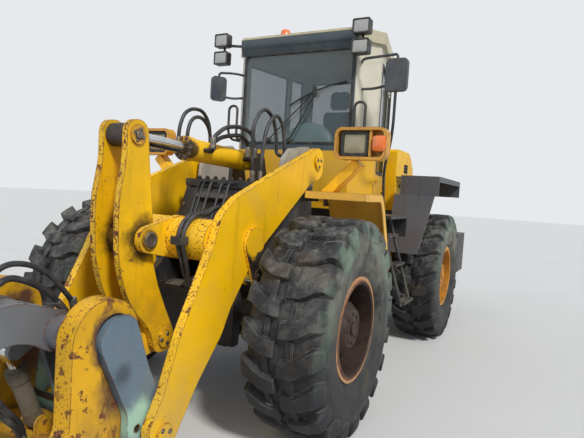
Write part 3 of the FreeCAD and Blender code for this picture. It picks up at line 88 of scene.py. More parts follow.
YELLOW = rgb(252, 196, 4)
YELLOW_DULL = rgb(222, 168, 12)
CREAM = rgb(204, 199, 180)
DARK = rgb(38, 39, 42)
STEEL_GREY = rgb(82, 86, 92)
COUPLER_GREY = rgb(101, 120, 134)
MINT = rgb(160, 198, 180)
RUST_DARK = rgb(70, 38, 24)
RUST_LIGHT = rgb(132, 78, 46)
DUST = rgb(150, 138, 116)
GREASE = rgb(32, 24, 18)
RUBBER = rgb(20, 22, 27)
SCREEN_GREY = rgb(52, 68, 77)


class Shader:
    """A material under construction, with short calls for the nodes that it uses."""

    def __init__(self, name):
        self.mat = bpy.data.materials.new(name)
        self.mat.use_nodes = True
        self.tree = self.mat.node_tree
        self.tree.nodes.clear()
        self.bsdf = self.add("ShaderNodeBsdfPrincipled")
        out = self.add("ShaderNodeOutputMaterial")
        self.tree.links.new(self.bsdf.outputs[0], out.inputs[0])
        self.coords = self.add("ShaderNodeTexCoord").outputs["Object"]
        self.geometry = self.add("ShaderNodeNewGeometry")

    def add(self, kind, **props):
        made = self.tree.nodes.new(kind)
        for key, value in props.items():
            setattr(made, key, value)
        return made

    def put(self, socket, value):
        if isinstance(value, bpy.types.NodeSocket):
            self.tree.links.new(value, socket)
        else:
            socket.default_value = value

    def noise(self, scale, detail=4.0, rough=0.55, stretch=None, seed=0.0):
        made = self.add("ShaderNodeTexNoise")
        source = self.coords
        if stretch or seed:
            mapping = self.add("ShaderNodeMapping")
            self.put(mapping.inputs["Vector"], source)
            mapping.inputs["Location"].default_value = (seed, seed * 0.7, seed * 1.3)
            mapping.inputs["Scale"].default_value = stretch or (1, 1, 1)
            source = mapping.outputs[0]
        self.put(made.inputs["Vector"], source)
        made.inputs["Scale"].default_value = scale
        made.inputs["Detail"].default_value = detail
        made.inputs["Roughness"].default_value = rough
        return made.outputs[0]

    def step(self, value, low, high):
        made = self.add("ShaderNodeMapRange", interpolation_type="SMOOTHSTEP")
        self.put(made.inputs["Value"], value)
        made.inputs["From Min"].default_value = low
        made.inputs["From Max"].default_value = high
        return made.outputs[0]

    def math(self, operation, a, b=0.0):
        made = self.add("ShaderNodeMath", operation=operation)
        self.put(made.inputs[0], a)
        self.put(made.inputs[1], b)
        return made.outputs[0]

    def times(self, a, b):
        return self.math("MULTIPLY", a, b)

    def most(self, a, b):
        return self.math("MAXIMUM", a, b)

    def blend(self, factor, a, b, kind="MIX"):
        made = self.add("ShaderNodeMix", data_type="RGBA", blend_type=kind)
        self.put(made.inputs[0], factor)
        self.put(made.inputs[6], a)
        self.put(made.inputs[7], b)
        return made.outputs[2]

    def shade(self, colour, factor, low, high):
        """The colour times a grey that runs from low to high with the factor."""
        grey = self.blend(factor, (low, low, low, 1), (high, high, high, 1))
        return self.blend(1.0, colour, grey, "MULTIPLY")

    def parts(self, vector):
        made = self.add("ShaderNodeSeparateXYZ")
        self.put(made.inputs[0], vector)
        return made.outputs

    def length(self, a, b):
        return self.math("SQRT", self.math("ADD", self.times(a, a), self.times(b, b)))

    def from_line(self, point):
        """Distance from the line across the machine through a point (x, z) in millimetres."""
        x, _, z = self.parts(self.coords)
        spot = on_pin(point)
        return self.length(self.math("SUBTRACT", x, spot[0]), self.math("SUBTRACT", z, spot[2]))

    def ragged(self, point, scale, detail, amount):
        """The same distance, made uneven by noise."""
        uneven = self.times(self.math("SUBTRACT", self.noise(scale, detail), 0.5), amount)
        return self.math("ADD", self.from_line(point), uneven)

    def about_wheel(self, centre):
        """Distance out from a wheel's middle plane, height over its axle and radius from its axle."""
        moved = self.add("ShaderNodeVectorMath", operation="SUBTRACT")
        self.put(moved.inputs[0], self.coords)
        moved.inputs[1].default_value = centre
        x, y, z = self.parts(moved.outputs[0])
        return self.math("ABSOLUTE", y), z, self.length(x, z)

    def edges(self, radius):
        """How far the rounded normal leaves the flat one: near 1 along sharp edges."""
        bevel = self.add("ShaderNodeBevel", samples=4)
        bevel.inputs["Radius"].default_value = radius
        dot = self.add("ShaderNodeVectorMath", operation="DOT_PRODUCT")
        self.put(dot.inputs[0], bevel.outputs[0])
        self.put(dot.inputs[1], self.geometry.outputs["Normal"])
        return self.step(self.math("SUBTRACT", 1.0, dot.outputs["Value"]), 0.01, 0.12)

    def finish(self, colour, rough, height=None, strength=0.3, distance=0.002, round_edges=0.004):
        self.put(self.bsdf.inputs["Base Color"], colour)
        self.put(self.bsdf.inputs["Roughness"], rough)
        normal = None
        if round_edges:
            bevel = self.add("ShaderNodeBevel", samples=3)
            bevel.inputs["Radius"].default_value = round_edges
            normal = bevel.outputs[0]
        if height is not None:
            bump = self.add("ShaderNodeBump")
            bump.inputs["Strength"].default_value = strength
            bump.inputs["Distance"].default_value = distance
            self.put(bump.inputs["Height"], height)
            if normal:
                self.put(bump.inputs["Normal"], normal)
            normal = bump.outputs[0]
        if normal:
            self.put(self.bsdf.inputs["Normal"], normal)
        return self.mat


def weathered(name, base, zones=(), chips=0.5, edge=0.6, dirt=0.35, fade=0.12, grease=(), low=None,
              gloss=0.42, metal=0.0, worn=(RUST_DARK, RUST_LIGHT), dust=DUST, chip_size=20.0,
              patches=(), flaked=0.0):
    """Painted or bare metal with tone changes, streaks, dust, chips to rust, worn edges and grease.

    zones are (axis, from, to, colour): the paint changes over that stretch of the axis, in metres.
    Axis "w" is the distance out from the machine's middle. low is (z, z, amount) of dust low down, which
    on the bellcrank also stands for painted shade.
    grease and patches are (point, inner, outer[, colour]) around lines across the machine.
    flaked is how much rust shows on the cut edges of plates that stand along the machine."""
    s = Shader(name)
    axes = dict(zip("xyz", s.parts(s.coords)))
    colour = base
    for axis, start, end, other in zones:
        reach = s.math("ABSOLUTE", axes["y"]) if axis == "w" else axes[axis]
        colour = s.blend(s.step(reach, start, end), colour, other)
    tone = s.step(s.noise(1.6, 5.0, seed=len(name)), 0.35, 0.65)
    colour = s.shade(colour, tone, 1 - fade, 1 + fade * 0.4)
    streak = s.step(s.noise(7.0, 6.0, stretch=(1.6, 1.6, 0.12)), 0.56, 0.72)
    colour = s.shade(colour, streak, 1.0, 1 - fade * 1.6)
    for point, inner, outer, other in patches:
        colour = s.blend(s.step(s.ragged(point, 9.0, 5.0, outer), outer, inner), colour, other)
    up = s.step(s.parts(s.geometry.outputs["Normal"])[2], -0.2, 1.0)
    dusty = s.step(s.noise(4.2, 9.0, 0.62, seed=3.1), 0.42, 0.66)
    dusty = s.times(s.times(dusty, s.math("ADD", 0.35, s.times(up, 0.65))), dirt)
    if low:
        splashes = s.step(s.noise(6.0, 8.0, 0.65, seed=5.7), 0.30, 0.62)
        near = s.times(s.step(axes["z"], low[1], low[0]), splashes)
        dusty = s.most(dusty, s.times(near, low[2]))
    colour = s.blend(dusty, colour, dust)
    grain = s.noise(chip_size, 7.0, 0.6, seed=1.9)
    group = s.step(s.noise(3.1, 4.0, seed=8.3), 0.40, 0.62)
    at_least = 0.73 - 0.12 * chips
    spots = s.times(s.step(grain, at_least, at_least + 0.025), group)
    broken = s.step(s.noise(16.0, 6.0, 0.65, seed=4.4), 0.60 - 0.22 * edge, 0.66 - 0.2 * edge)
    bare = s.most(spots, s.times(s.edges(0.009), broken))
    if flaked:
        cut = s.step(s.math("ABSOLUTE", s.parts(s.geometry.outputs["Normal"])[1]), 0.45, 0.25)
        flakes = s.step(s.noise(70.0, 7.0, 0.62, seed=6.6), 0.66 - 0.09 * flaked, 0.70 - 0.09 * flaked)
        large = s.step(s.noise(13.0, 9.0, 0.7, seed=2.9), 0.66 - 0.08 * flaked, 0.68 - 0.08 * flaked)
        bare = s.most(bare, s.times(cut, s.most(flakes, large)))
    rust = s.blend(s.step(s.noise(55.0, 5.0), 0.4, 0.6), *worn)
    colour = s.blend(bare, colour, rust)
    rough = s.math("ADD", gloss, s.times(s.noise(11.0, 5.0), 0.12))
    rough = s.math("ADD", rough, s.times(s.most(bare, dusty), 0.35))
    for point, inner, outer in grease:
        greasy = s.step(s.ragged(point, 13.0, 6.0, outer * 0.8), outer, inner)
        colour = s.blend(s.times(greasy, 0.92), colour, GREASE)
    height = s.math("SUBTRACT", s.times(s.noise(140.0, 3.0), 0.12), bare)
    s.bsdf.inputs["Metallic"].default_value = metal
    return s.finish(colour, rough, height, strength=0.35, distance=0.0012)


def tyre_rubber(name, centre, stain):
    """Dusty worn rubber: scuffed bars, grey dust on the wall, a greenish stain on the shoulder. The dust
    and the pale wall are stronger on the upper half, partly as painted sunlight.
    """
    s = Shader(name)
    aside, z, out = s.about_wheel(centre)
    wall = s.times(s.step(aside, 0.19, 0.22), s.step(out, 0.66, 0.60))
    colour = s.shade(RUBBER, s.step(s.noise(5.0, 6.0), 0.3, 0.7), 0.6, 1.25)
    # high rises towards the tyre's top. The dust and the pale wall are weighted by it: partly real dust
    # and partly painted sunlight on the upper half, with the lower half left darker as painted shade.
    high = s.step(z, -0.35, 0.70)
    dust = s.step(s.noise(9.0, 10.0, 0.72, seed=2.0), 0.43, 0.66)
    dusty = s.times(dust, s.math("ADD", 0.05, s.times(high, 0.60)))
    colour = s.blend(dusty, colour, rgb(128, 126, 120))
    mud = s.times(s.step(s.noise(2.6, 6.0, 0.6, seed=6.0), 0.54, 0.70), 0.3)
    colour = s.blend(mud, colour, rgb(104, 84, 62))
    # The pale wall is partly dust and partly painted sunlight on the upper sidewall
    pale_dust_and_sunlight = s.times(wall, s.step(s.noise(3.4, 8.0, 0.66, seed=4.0), 0.34, 0.62))
    pale_dust_and_sunlight = s.times(pale_dust_and_sunlight, s.math("ADD", 0.06, s.times(high, 0.5)))
    colour = s.blend(pale_dust_and_sunlight, colour, rgb(138, 136, 120))
    band = s.times(s.step(aside, 0.226, 0.244), s.step(out, 0.48, 0.58))
    band = s.times(s.times(band, high), s.step(s.noise(2.4, 6.0, seed=9.0), 0.40, 0.56))
    colour = s.blend(s.times(band, stain), colour, rgb(116, 142, 122))
    scuff = s.times(s.edges(0.010), s.step(s.noise(11.0, 7.0, 0.7, seed=1.0), 0.40, 0.62))
    colour = s.blend(s.times(scuff, 0.55), colour, rgb(138, 134, 126))
    rings = s.math("SINE", s.times(out, 260.0))
    height = s.math("ADD", s.noise(60.0, 6.0, 0.7), s.times(s.times(rings, wall), 0.12))
    rough = s.math("ADD", 0.62, s.times(dust, 0.25))
    return s.finish(colour, rough, height, strength=0.5, distance=0.004, round_edges=0.008)


def rim_paint(name, centre, paint, rust, flange, dark):
    """A wheel rim: its flange is worn lighter and its dish is rusty, with painted shade darkening the
    dish.
    """
    s = Shader(name)
    _, _, out = s.about_wheel(centre)
    patch = s.step(s.noise(5.0, 8.0, 0.65), 0.5 - 0.1 * rust, 0.62 - 0.1 * rust)
    browns = s.blend(s.step(s.noise(26.0, 6.0), 0.35, 0.65), rgb(88, 52, 34), rgb(142, 88, 58))
    colour = s.blend(s.times(patch, min(1.0, rust + 0.15)), paint, browns)
    colour = s.blend(s.times(s.step(out, 0.325, 0.345), 0.8), colour, flange)
    # Painted shade: the dish inside the flange is blended towards a near-black brown
    dish_shade = s.times(s.step(out, 0.330, 0.314), dark)
    colour = s.blend(dish_shade, colour, rgb(38, 27, 22))
    grime = s.step(s.noise(13.0, 6.0, seed=3.0), 0.58, 0.7)
    colour = s.blend(s.times(grime, 0.5), colour, rgb(60, 50, 42))
    rough = s.math("ADD", 0.5, s.times(patch, 0.3))
    return s.finish(colour, rough, s.noise(70.0, 5.0), strength=0.35, distance=0.0015)


def simple(name, base, rough=0.5, metal=0.0, tone=0.2, scale=30.0, dirt=0.3, dust=DUST, bump=0.2,
           alpha=1.0, coat=0.0, round_edges=0.003, eyes=()):
    """Rubber, plastic, chrome or glass: one colour with tone, dust and roughness that vary.

    eyes are (point, radius): around those lines across the machine it is greasy cast steel."""
    s = Shader(name)
    colour = s.shade(base, s.step(s.noise(scale, 5.0), 0.3, 0.7), 1 - tone, 1 + tone * 0.5)
    dusty = s.times(s.step(s.noise(scale * 0.35, 8.0, 0.65, seed=2.2), 0.45, 0.7), dirt)
    colour = s.blend(dusty, colour, dust)
    roughness = s.math("ADD", rough, s.times(dusty, 0.45))
    s.bsdf.inputs["Metallic"].default_value = metal
    for point, radius in eyes:
        eye = s.step(s.from_line(point), radius + 0.006, radius)
        greasy = s.shade(GREASE, s.step(s.noise(18.0, 6.0), 0.35, 0.65), 0.8, 2.6)
        colour = s.blend(eye, colour, greasy)
        roughness = s.math("ADD", roughness, s.times(eye, 0.4))
        metal = s.times(s.math("SUBTRACT", 1.0, eye), metal)
        s.put(s.bsdf.inputs["Metallic"], metal)
    s.bsdf.inputs["Alpha"].default_value = alpha
    s.bsdf.inputs["Coat Weight"].default_value = coat
    return s.finish(colour, roughness, s.noise(scale * 6, 3.0), strength=bump, distance=0.0008,
                    round_edges=round_edges)


def lens(name, base, ribs):
    """Moulded lamp plastic or glass with fine upright ribs."""
    s = Shader(name)
    wave = s.math("SINE", s.times(s.parts(s.coords)[1], ribs))
    colour = s.shade(base, s.step(wave, -1.0, 1.0), 0.90, 1.05)
    colour = s.blend(s.times(s.step(s.noise(16.0, 7.0), 0.5, 0.7), 0.3), colour, DUST)
    s.bsdf.inputs["Coat Weight"].default_value = 0.6
    rough = s.math("ADD", 0.18, s.times(s.noise(20.0), 0.15))
    return s.finish(colour, rough, wave, strength=0.4, distance=0.001)


# Looks by name. LOOK says which a node wears, and SLOT_LOOK which the others wear by their slot
CHROME = dict(base=rgb(206, 208, 210), rough=0.14, metal=1.0, tone=0.08, scale=12.0, dirt=0.12,
              dust=rgb(96, 84, 70), bump=0.05)
M = {
    "boom": weathered(
        "boom_paint", YELLOW, chips=0.42, edge=0.95, dirt=0.30, low=(0.25, 0.9, 0.35),
        grease=((BELL_PIVOT, 0.03, 0.09),), flaked=1.0, zones=(("w", 0.556, 0.562, rgb(34, 32, 32)),),
        patches=(((1790, 1300), 0.11, 0.14, YELLOW),)),
    # The bellcrank's dark brown dust, thickening from 1.4 m down to 0.55 m, is partly painted shade on
    # its lower half
    "bellcrank": weathered(
        "bellcrank_paint", YELLOW, chips=0.85, edge=1.1, dirt=0.45, fade=0.18, low=(0.55, 1.4, 0.5),
        dust=rgb(120, 92, 44), flaked=1.3, patches=((BELL_TOP, 0.02, 0.085, rgb(196, 140, 62)),),
        grease=((BELL_PIVOT, 0.08, 0.19), (BELL_TOP, 0.015, 0.05))),
    "fork": weathered(
        "fork_paint", YELLOW_DULL, chips=1.4, edge=1.2, dirt=0.45, fade=0.2, chip_size=15.0,
        flaked=0.9, low=(0.2, 0.75, 0.6), dust=rgb(112, 84, 58),
        patches=(((2900, 850), 0.10, 0.17, rgb(84, 56, 42)),
                 ((2820, 560), 0.05, 0.20, rgb(92, 62, 46)))),
    "coupler": weathered(
        "coupler_paint", COUPLER_GREY, chips=0.55, edge=0.8, dirt=0.25,
        patches=(((2725, 372), 0.05, 0.16, MINT), ((2715, 322), 0.018, 0.032, rgb(72, 54, 42)),
                 ((2840, 650), 0.01, 0.10, rgb(74, 84, 94)))),
    "yellow": weathered("yellow_paint", YELLOW, chips=0.35, edge=0.5, dirt=0.4, low=(0.5, 1.2, 0.3)),
    "fender": weathered(
        "front_fender_paint", rgb(232, 178, 66), chips=0.55, edge=1.0, dirt=0.45,
        dust=rgb(150, 112, 70), worn=(RUST_LIGHT, rgb(150, 110, 78))),
    "lamp_guard": weathered(
        "lamp_guard_paint", rgb(206, 150, 56), chips=0.8, edge=1.0, dirt=0.5,
        zones=(("z", 1.93, 1.88, YELLOW),), dust=rgb(140, 108, 70)),
    "hood": weathered("hood_paint", YELLOW, chips=0.3, edge=0.45, dirt=0.35),
    "link": weathered("link_paint", YELLOW, chips=0.8, edge=1.0, dirt=0.6, low=(0.3, 0.9, 0.6)),
    "cylinder": weathered(
        "cylinder_paint", YELLOW, chips=0.5, edge=0.8, dirt=0.4, grease=((TILT_GLAND, 0.05, 0.09),)),
    "cab": weathered(
        "cab_paint", CREAM, chips=0.3, edge=0.5, dirt=0.45, dust=rgb(150, 142, 120),
        zones=(("z", 2.125, 2.115, YELLOW_DULL), ("x", -0.075, -0.065, SCREEN_GREY),
               ("z", 2.06, 2.05, YELLOW_DULL))),
    "roof": weathered("roof_paint", rgb(196, 188, 160), chips=0.3, edge=0.5, dirt=0.6),
    "dark": weathered("dark_paint", DARK, chips=0.5, edge=0.6, dirt=0.5, low=(0.4, 1.3, 0.45)),
    "tower": weathered("tower_paint", rgb(30, 32, 36), chips=0.3, edge=0.6, dirt=0.35, gloss=0.38),
    "plates": weathered(
        "frame_plate_paint", DARK, chips=0.5, edge=0.7, dirt=0.45,
        zones=(("z", 1.68, 1.72, rgb(172, 168, 158)),)),
    "sheet": weathered(
        "fender_sheet", STEEL_GREY, chips=0.35, edge=0.9, dirt=0.45, gloss=0.5,
        worn=(rgb(120, 112, 104), rgb(150, 142, 132)), low=(1.1, 1.75, 0.55), dust=rgb(96, 74, 60)),
    "clamp": weathered(
        "clamp_steel", rgb(110, 114, 120), chips=0.7, edge=0.9, dirt=0.45, gloss=0.4, metal=0.25,
        dust=rgb(110, 92, 72)),
    "cast": weathered("cast_weight", rgb(58, 60, 62), chips=0.35, edge=0.6, dirt=0.5, gloss=0.55),
    "engine": weathered("engine_paint", rgb(70, 72, 74), chips=0.4, edge=0.5, dirt=0.6),
    "exhaust": weathered("exhaust_steel", rgb(92, 84, 78), chips=0.9, edge=0.8, dirt=0.4, metal=0.4),
    "fittings": weathered(
        "fittings_paint", DARK, chips=0.5, edge=0.6, dirt=0.45, low=(0.4, 1.3, 0.4),
        zones=(("w", 0.545, 0.550, YELLOW), ("w", 0.600, 0.605, DARK))),
    "header": weathered(
        "windscreen_header", SCREEN_GREY, chips=0.05, edge=0.1, dirt=0.25, gloss=0.12,
        zones=(("z", 3.163, 3.168, rgb(176, 150, 84)),)),
    "cowl": simple(
        "dash_cowl", rgb(150, 186, 176), rough=0.35, tone=0.25, scale=3.0, dirt=0.2, bump=0.1),
    "mirror_head": simple(
        "mirror_head", rgb(42, 50, 62), rough=0.4, tone=0.15, scale=6.0, dirt=0.18, bump=0.1),
    "tilt_rod": simple("tilt_rod_chrome", eyes=((BELL_TOP, 0.090),), **CHROME),
    "chrome": simple("rod_chrome", **CHROME),
    "steel": simple(
        "bolt_steel", rgb(128, 124, 118), rough=0.38, metal=0.8, tone=0.3, scale=40.0, dirt=0.5,
        dust=rgb(104, 74, 52)),
    "hose": simple(
        "hose_rubber", rgb(40, 41, 44), rough=0.42, tone=0.25, scale=20.0, dirt=0.45,
        dust=rgb(104, 102, 98), bump=0.15, round_edges=0),
    "plastic": simple("black_plastic", rgb(34, 36, 39), rough=0.45, scale=60.0),
    "seal": simple("window_seal", rgb(26, 30, 33), rough=0.6, scale=40.0, dirt=0.25),
    "glass": simple(
        "window_glass", rgb(52, 77, 86), rough=0.05, tone=0.15, scale=1.4, dirt=0.2,
        dust=rgb(140, 152, 152), bump=0.0, alpha=0.38, coat=0.8),
    "fabric": simple(
        "seat_fabric", rgb(22, 26, 28), rough=0.85, tone=0.3, scale=90.0, dirt=0.25, bump=0.5),
    "mirror": simple(
        "mirror_glass", rgb(200, 206, 210), rough=0.03, metal=1.0, tone=0.03, dirt=0.08, bump=0.0),
    "lamp_glass": lens("lamp_glass", rgb(142, 134, 102), 420.0),
    "work_lamp": lens("work_lamp_glass", rgb(158, 160, 156), 700.0),
    "amber": lens("amber_lens", rgb(232, 112, 24), 260.0),
    "red": lens("red_lens", rgb(150, 20, 18), 320.0),
}
LOOK = {
    "boom": "boom", "bellcrank": "bellcrank", "tilt_link": "link", "fork_frame": "fork",
    "clamp": "clamp", "clamp_lugs": "clamp", "clamp_barrel": "dark", "tilt_barrel": "cylinder",
    "tilt_rod": "tilt_rod", "front_fenders": "fender", "headlights": "lamp_guard", "hood": "hood",
    "cab_roof": "roof", "front_plates": "plates", "front_frame": "tower", "boom_pipes": "hose",
    "frame_fittings": "fittings", "engine_block": "engine", "mirrors": "mirror_head",
}
SLOT_LOOK = {
    "yellow_paint": "yellow", "dark_paint": "dark", "grey_paint": "coupler", "fender_steel": "sheet",
    "cream_paint": "cab", "rod_chrome": "chrome", "worn_steel": "exhaust", "cast_weight": "cast",
    "black_plastic": "plastic", "seat_fabric": "fabric", "hose_rubber": "hose",
    "window_glass": "glass",
}


def wear(obj, material):
    """Gives an object one material."""
    obj.data.materials.clear()
    obj.data.materials.append(material)


# Wheels by axle: place along the machine, rim paint, its rust, its flange, how much painted shade
# darkens its dish
WHEELS = {}
for end, wheel_x, *rim_look in (
        ("front", AXLE_X, rgb(104, 66, 46), 0.9, rgb(196, 150, 104), 0.92),
        ("rear", -AXLE_X, rgb(214, 146, 36), 0.3, rgb(196, 140, 60), 0.3)):
    for side_name, side in SIDES:
        wheel = f"{end}_{side_name}"
        centre = at(wheel_x, side * WHEEL_Y, AXLE_Z)
        WHEELS[wheel] = (centre, side)
        stain = 0.58 if wheel == "front_left" else 0.3
        wear(NODES[f"tyre_{wheel}"], tyre_rubber(f"tyre_rubber_{wheel}", centre, stain))
        wear(NODES[f"rim_{wheel}"], rim_paint(f"rim_paint_{wheel}", centre, *rim_look))
for name, obj in NODES.items():
    if not name.startswith(("tyre_", "rim_")):
        wear(obj, M[LOOK.get(name) or SLOT_LOOK[SLOT_OF[name]]])


# Shapes as lists of points and faces
def circles(profile, count):
    """Rows of points round Z, one row for each (radius, height)."""
    points = []
    for radius, height in profile:
        for i in range(count):
            a = 2 * math.pi * i / count
            points.append((radius * math.cos(a), radius * math.sin(a), height))
    return points


def bands(count, rows, closed=False):
    """Faces between neighbouring rows of points; closed also joins the last row to the first."""
    faces = []
    for row in range(rows if closed else rows - 1):
        a, b = row * count, (row + 1) % rows * count
        for i in range(count):
            j = (i + 1) % count
            faces.append((a + i, a + j, b + j, b + i))
    return faces


def capped(points, count):
    """Rows of count points as a shape with a face over each end."""
    last = len(points) - count
    ends = [tuple(reversed(range(count))), tuple(range(last, last + count))]
    return points, bands(count, len(points) // count) + ends


def turned(profile, count=32):
    """A shape of revolution about Z through the (radius, height) points, capped at both ends."""
    return capped(circles(profile, count), count)


def ring_of(profile, count=48):
    """A ring of revolution about Z: the profile is a closed loop of (radius, height) points."""
    return circles(profile, count), bands(count, len(profile), closed=True)


def stacked(loops):
    """Skins equal loops of 3-D points one after another and caps both ends."""
    return capped([tuple(p) for loop in loops for p in loop], len(loops[0]))


def rounded_loop(half_w, half_h, radius, steps=5):
    """Points round a rectangle with rounded corners."""
    out = []
    for cx, cy, start in ((1, 1, 0), (-1, 1, 90), (-1, -1, 180), (1, -1, 270)):
        for i in range(steps + 1):
            a = math.radians(start + 90 * i / steps)
            out.append((cx * (half_w - radius) + radius * math.cos(a),
                        cy * (half_h - radius) + radius * math.sin(a)))
    return out


def slab(half_w, half_h, depth, radius, edge=0.003):
    """A rounded plate about the origin in X and Y that rises from Z = 0, with softened edges."""
    loops = []
    for inset, z in ((edge, 0), (0, edge), (0, depth - edge), (edge, depth)):
        loop = rounded_loop(half_w - inset, half_h - inset, max(radius - inset, 0.001))
        loops.append([(x, y, z) for x, y in loop])
    return stacked(loops)


def dome(half_w, half_h, depth, rise, radius):
    """A rounded plate whose top bulges by rise."""
    loops = [[(x, y, 0) for x, y in rounded_loop(half_w, half_h, radius)],
             [(x, y, depth) for x, y in rounded_loop(half_w, half_h, radius)]]
    for part in (0.9, 0.7, 0.4, 0.12):
        loop = rounded_loop(half_w * part, half_h * part, radius * part)
        loops.append([(x, y, depth + rise * (1 - part * part)) for x, y in loop])
    return stacked(loops)


def frame_ring(half_w, half_h, wall, depth, radius, edge=0.003):
    """A rounded rectangular ring about the origin that rises from Z = 0."""
    rows = []
    for inset, z in ((edge, 0), (0, edge), (0, depth - edge), (edge, depth), (wall - edge, depth),
                     (wall, depth - edge), (wall, edge), (wall - edge, 0)):
        loop = rounded_loop(half_w - inset, half_h - inset, max(radius - inset, 0.001))
        rows.append([(x, y, z) for x, y in loop])
    return [p for row in rows for p in row], bands(len(rows[0]), len(rows), closed=True)


def swept(path, radius, count, scale=None):
    """A tube along points, with flat ends; scale has a factor on the radius for each point."""
    path = [Vector(p) for p in path]
    loops, side = [], None
    for k, point in enumerate(path):
        ahead = path[min(k + 1, len(path) - 1)] - path[max(k - 1, 0)]
        ahead.normalize()
        if side is None:
            side = ahead.orthogonal().normalized()
        side = (side - ahead * side.dot(ahead)).normalized()
        other = ahead.cross(side)
        r = radius * (scale[k] if scale else 1.0)
        loops.append([point + side * r * math.cos(2 * math.pi * i / count)
                      + other * r * math.sin(2 * math.pi * i / count) for i in range(count)])
    return stacked(loops)


def hexagon(radius, height):
    """A hexagon head on a washer."""
    points, faces = turned([(radius * 1.35, 0), (radius * 1.35, height * 0.25)], 16)
    more, others = turned([(radius, height * 0.25), (radius, height * 0.88), (radius * 0.86, height)], 6)
    start = len(points)
    return points + more, faces + [tuple(v + start for v in face) for face in others]


def aim(place, direction, up=None):
    """The matrix that puts a shape's Z along a direction at a place; up is where its Y points."""
    z = Vector(direction).normalized()
    y = Vector(up) if up else z.orthogonal()
    x = y.cross(z).normalized()
    y = z.cross(x)
    return Matrix.Translation(place) @ Matrix((x, y, z)).transposed().to_4x4()


class Piece:
    """One visible piece, gathered from shapes and then put on its body."""

    def __init__(self, name, look, body, slot):
        self.name, self.look, self.body, self.slot = name, look, body, slot
        self.points, self.faces = [], []

    def add(self, shape, matrix=None):
        start = len(self.points)
        points, faces = shape
        for p in points:
            self.points.append(tuple(matrix @ Vector(p)) if matrix else tuple(p))
        self.faces += [tuple(v + start for v in face) for face in faces]

    def done(self, sharp=35.0):
        mesh = bpy.data.meshes.new(self.name)
        mesh.from_pydata(self.points, [], self.faces)
        mesh.validate()
        for face in mesh.polygons:
            face.use_smooth = True
        mesh.set_sharp_from_angle(angle=math.radians(sharp))
        obj = bpy.data.objects.new(self.name, mesh)
        bpy.context.scene.collection.objects.link(obj)
        wear(obj, M[self.look])
        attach(obj, self.body)
        return obj


def single(name, look, body, slot, shape, matrix=None):
    """A piece of one shape."""
    piece = Piece(name, look, body, slot)
    piece.add(shape, matrix)
    return piece.done()


def bolt_circle(piece, centre, y, outward, circle, count, size, start=0.0):
    """Bolts about a line across the machine, on the face at y. Only size is in metres."""
    for i in range(count):
        a = start + 2 * math.pi * i / count
        place = at(centre[0] + circle * math.cos(a), y, centre[1] + circle * math.sin(a))
        piece.add(hexagon(size, size * 0.7), aim(place, (0, outward, 0)))


X, Y, Z = Vector((1, 0, 0)), Vector((0, 1, 0)), Vector((0, 0, 1))

# Pin fasteners
frame_bolts = Piece("frame_bolts", "steel", "front_frame", "worn_steel")
boom_bolts = Piece("boom_bolts", "steel", "boom", "worn_steel")
crank_bolts = Piece("bellcrank_bolts", "steel", "bellcrank", "worn_steel")
pivot_cap = turned([(0.050, 0), (0.050, 0.004), (0.046, 0.007), (0.034, 0.007), (0.032, 0.004),
                    (0.001, 0.004)])
for _, side in SIDES:
    out = (0, side, 0)
    for pin in (BOOM_PIVOT, LIFT_BASE):
        bolt_circle(frame_bolts, pin, side * FRAME_CAP_Y, side, 36, 3, 0.011, 0.5)
    bolt_circle(boom_bolts, LIFT_EYE, side * LIFT_CAP_Y, side, 36, 3, 0.011, 0.2)
    bolt_circle(boom_bolts, TOOL_PIN, side * TOOL_CAP_Y, side, 36, 3, 0.011, 0.9)
    boom_bolts.add(pivot_cap, aim(on_pin(BELL_PIVOT, side * PIVOT_CAP_Y), out))
    bolt_circle(crank_bolts, BELL_TOP, side * BELL_FACE_Y, side, 38, 4, 0.009, 0.4)
    crank_bolts.add(turned([(0.026, 0), (0.026, 0.006), (0.022, 0.009)]),
                    aim(on_pin(BELL_TOP, side * BELL_FACE_Y), out))
    bolt_circle(crank_bolts, BELL_FOOT, side * BELL_FACE_Y, side, 36, 3, 0.011)
for batch in (frame_bolts, boom_bolts, crank_bolts):
    batch.done()

# Wheels: nuts, hub bolts, hub cap and lock ring. Bolt rows are (how many, circle, distance out, size)
for wheel, (centre, side) in WHEELS.items():
    rim = NODES[f"rim_{wheel}"].data.materials[0]
    nuts = Piece(f"wheel_nuts_{wheel}", "steel", f"wheel_{wheel}", "worn_steel")
    for count, circle, y, size in ((16, 0.245, 0.044, 0.017), (8, 0.098, HUB_Y, 0.010)):
        for i in range(count):
            a = 2 * math.pi * i / count
            place = centre + Vector((circle * math.cos(a), side * y, circle * math.sin(a)))
            nuts.add(hexagon(size, size * 0.9), aim(place, (0, side, 0)))
    nuts.add(turned([(0.045, 0), (0.045, 0.012), (0.038, 0.018)]),
             aim(centre + Y * side * HUB_Y, (0, side, 0)))
    # The nuts, hub bolts, hub cap and lock ring wear the rim's material, whose painted shade darkens
    # them where they lie in the dish
    wear(nuts.done(), rim)
    lock = single(f"lock_ring_{wheel}", "steel", f"wheel_{wheel}", "rim_rust",
                  ring_of([(0.312, -0.002), (0.318, 0.006), (0.330, 0.006), (0.334, -0.002)]),
                  aim(centre + Y * side * 0.215, (0, side, 0)))
    wear(lock, rim)

# Tyres: a rounded carcass and wide bars that bend at the shoulder and run down its side
# The carcass's (radius, y), from the bead to the middle of the tread
CARCASS = (
    (0.324, 0.199), (0.345, 0.205), (0.372, 0.211), (0.378, 0.222), (0.398, 0.236), (0.420, 0.243),
    (0.430, 0.250), (0.446, 0.249), (0.480, 0.2535), (0.530, 0.2555), (0.556, 0.2585), (0.570, 0.2555),
    (0.604, 0.249), (0.640, 0.237), (0.668, 0.220), (0.688, 0.190), (0.698, 0.130), (0.702, 0.060))
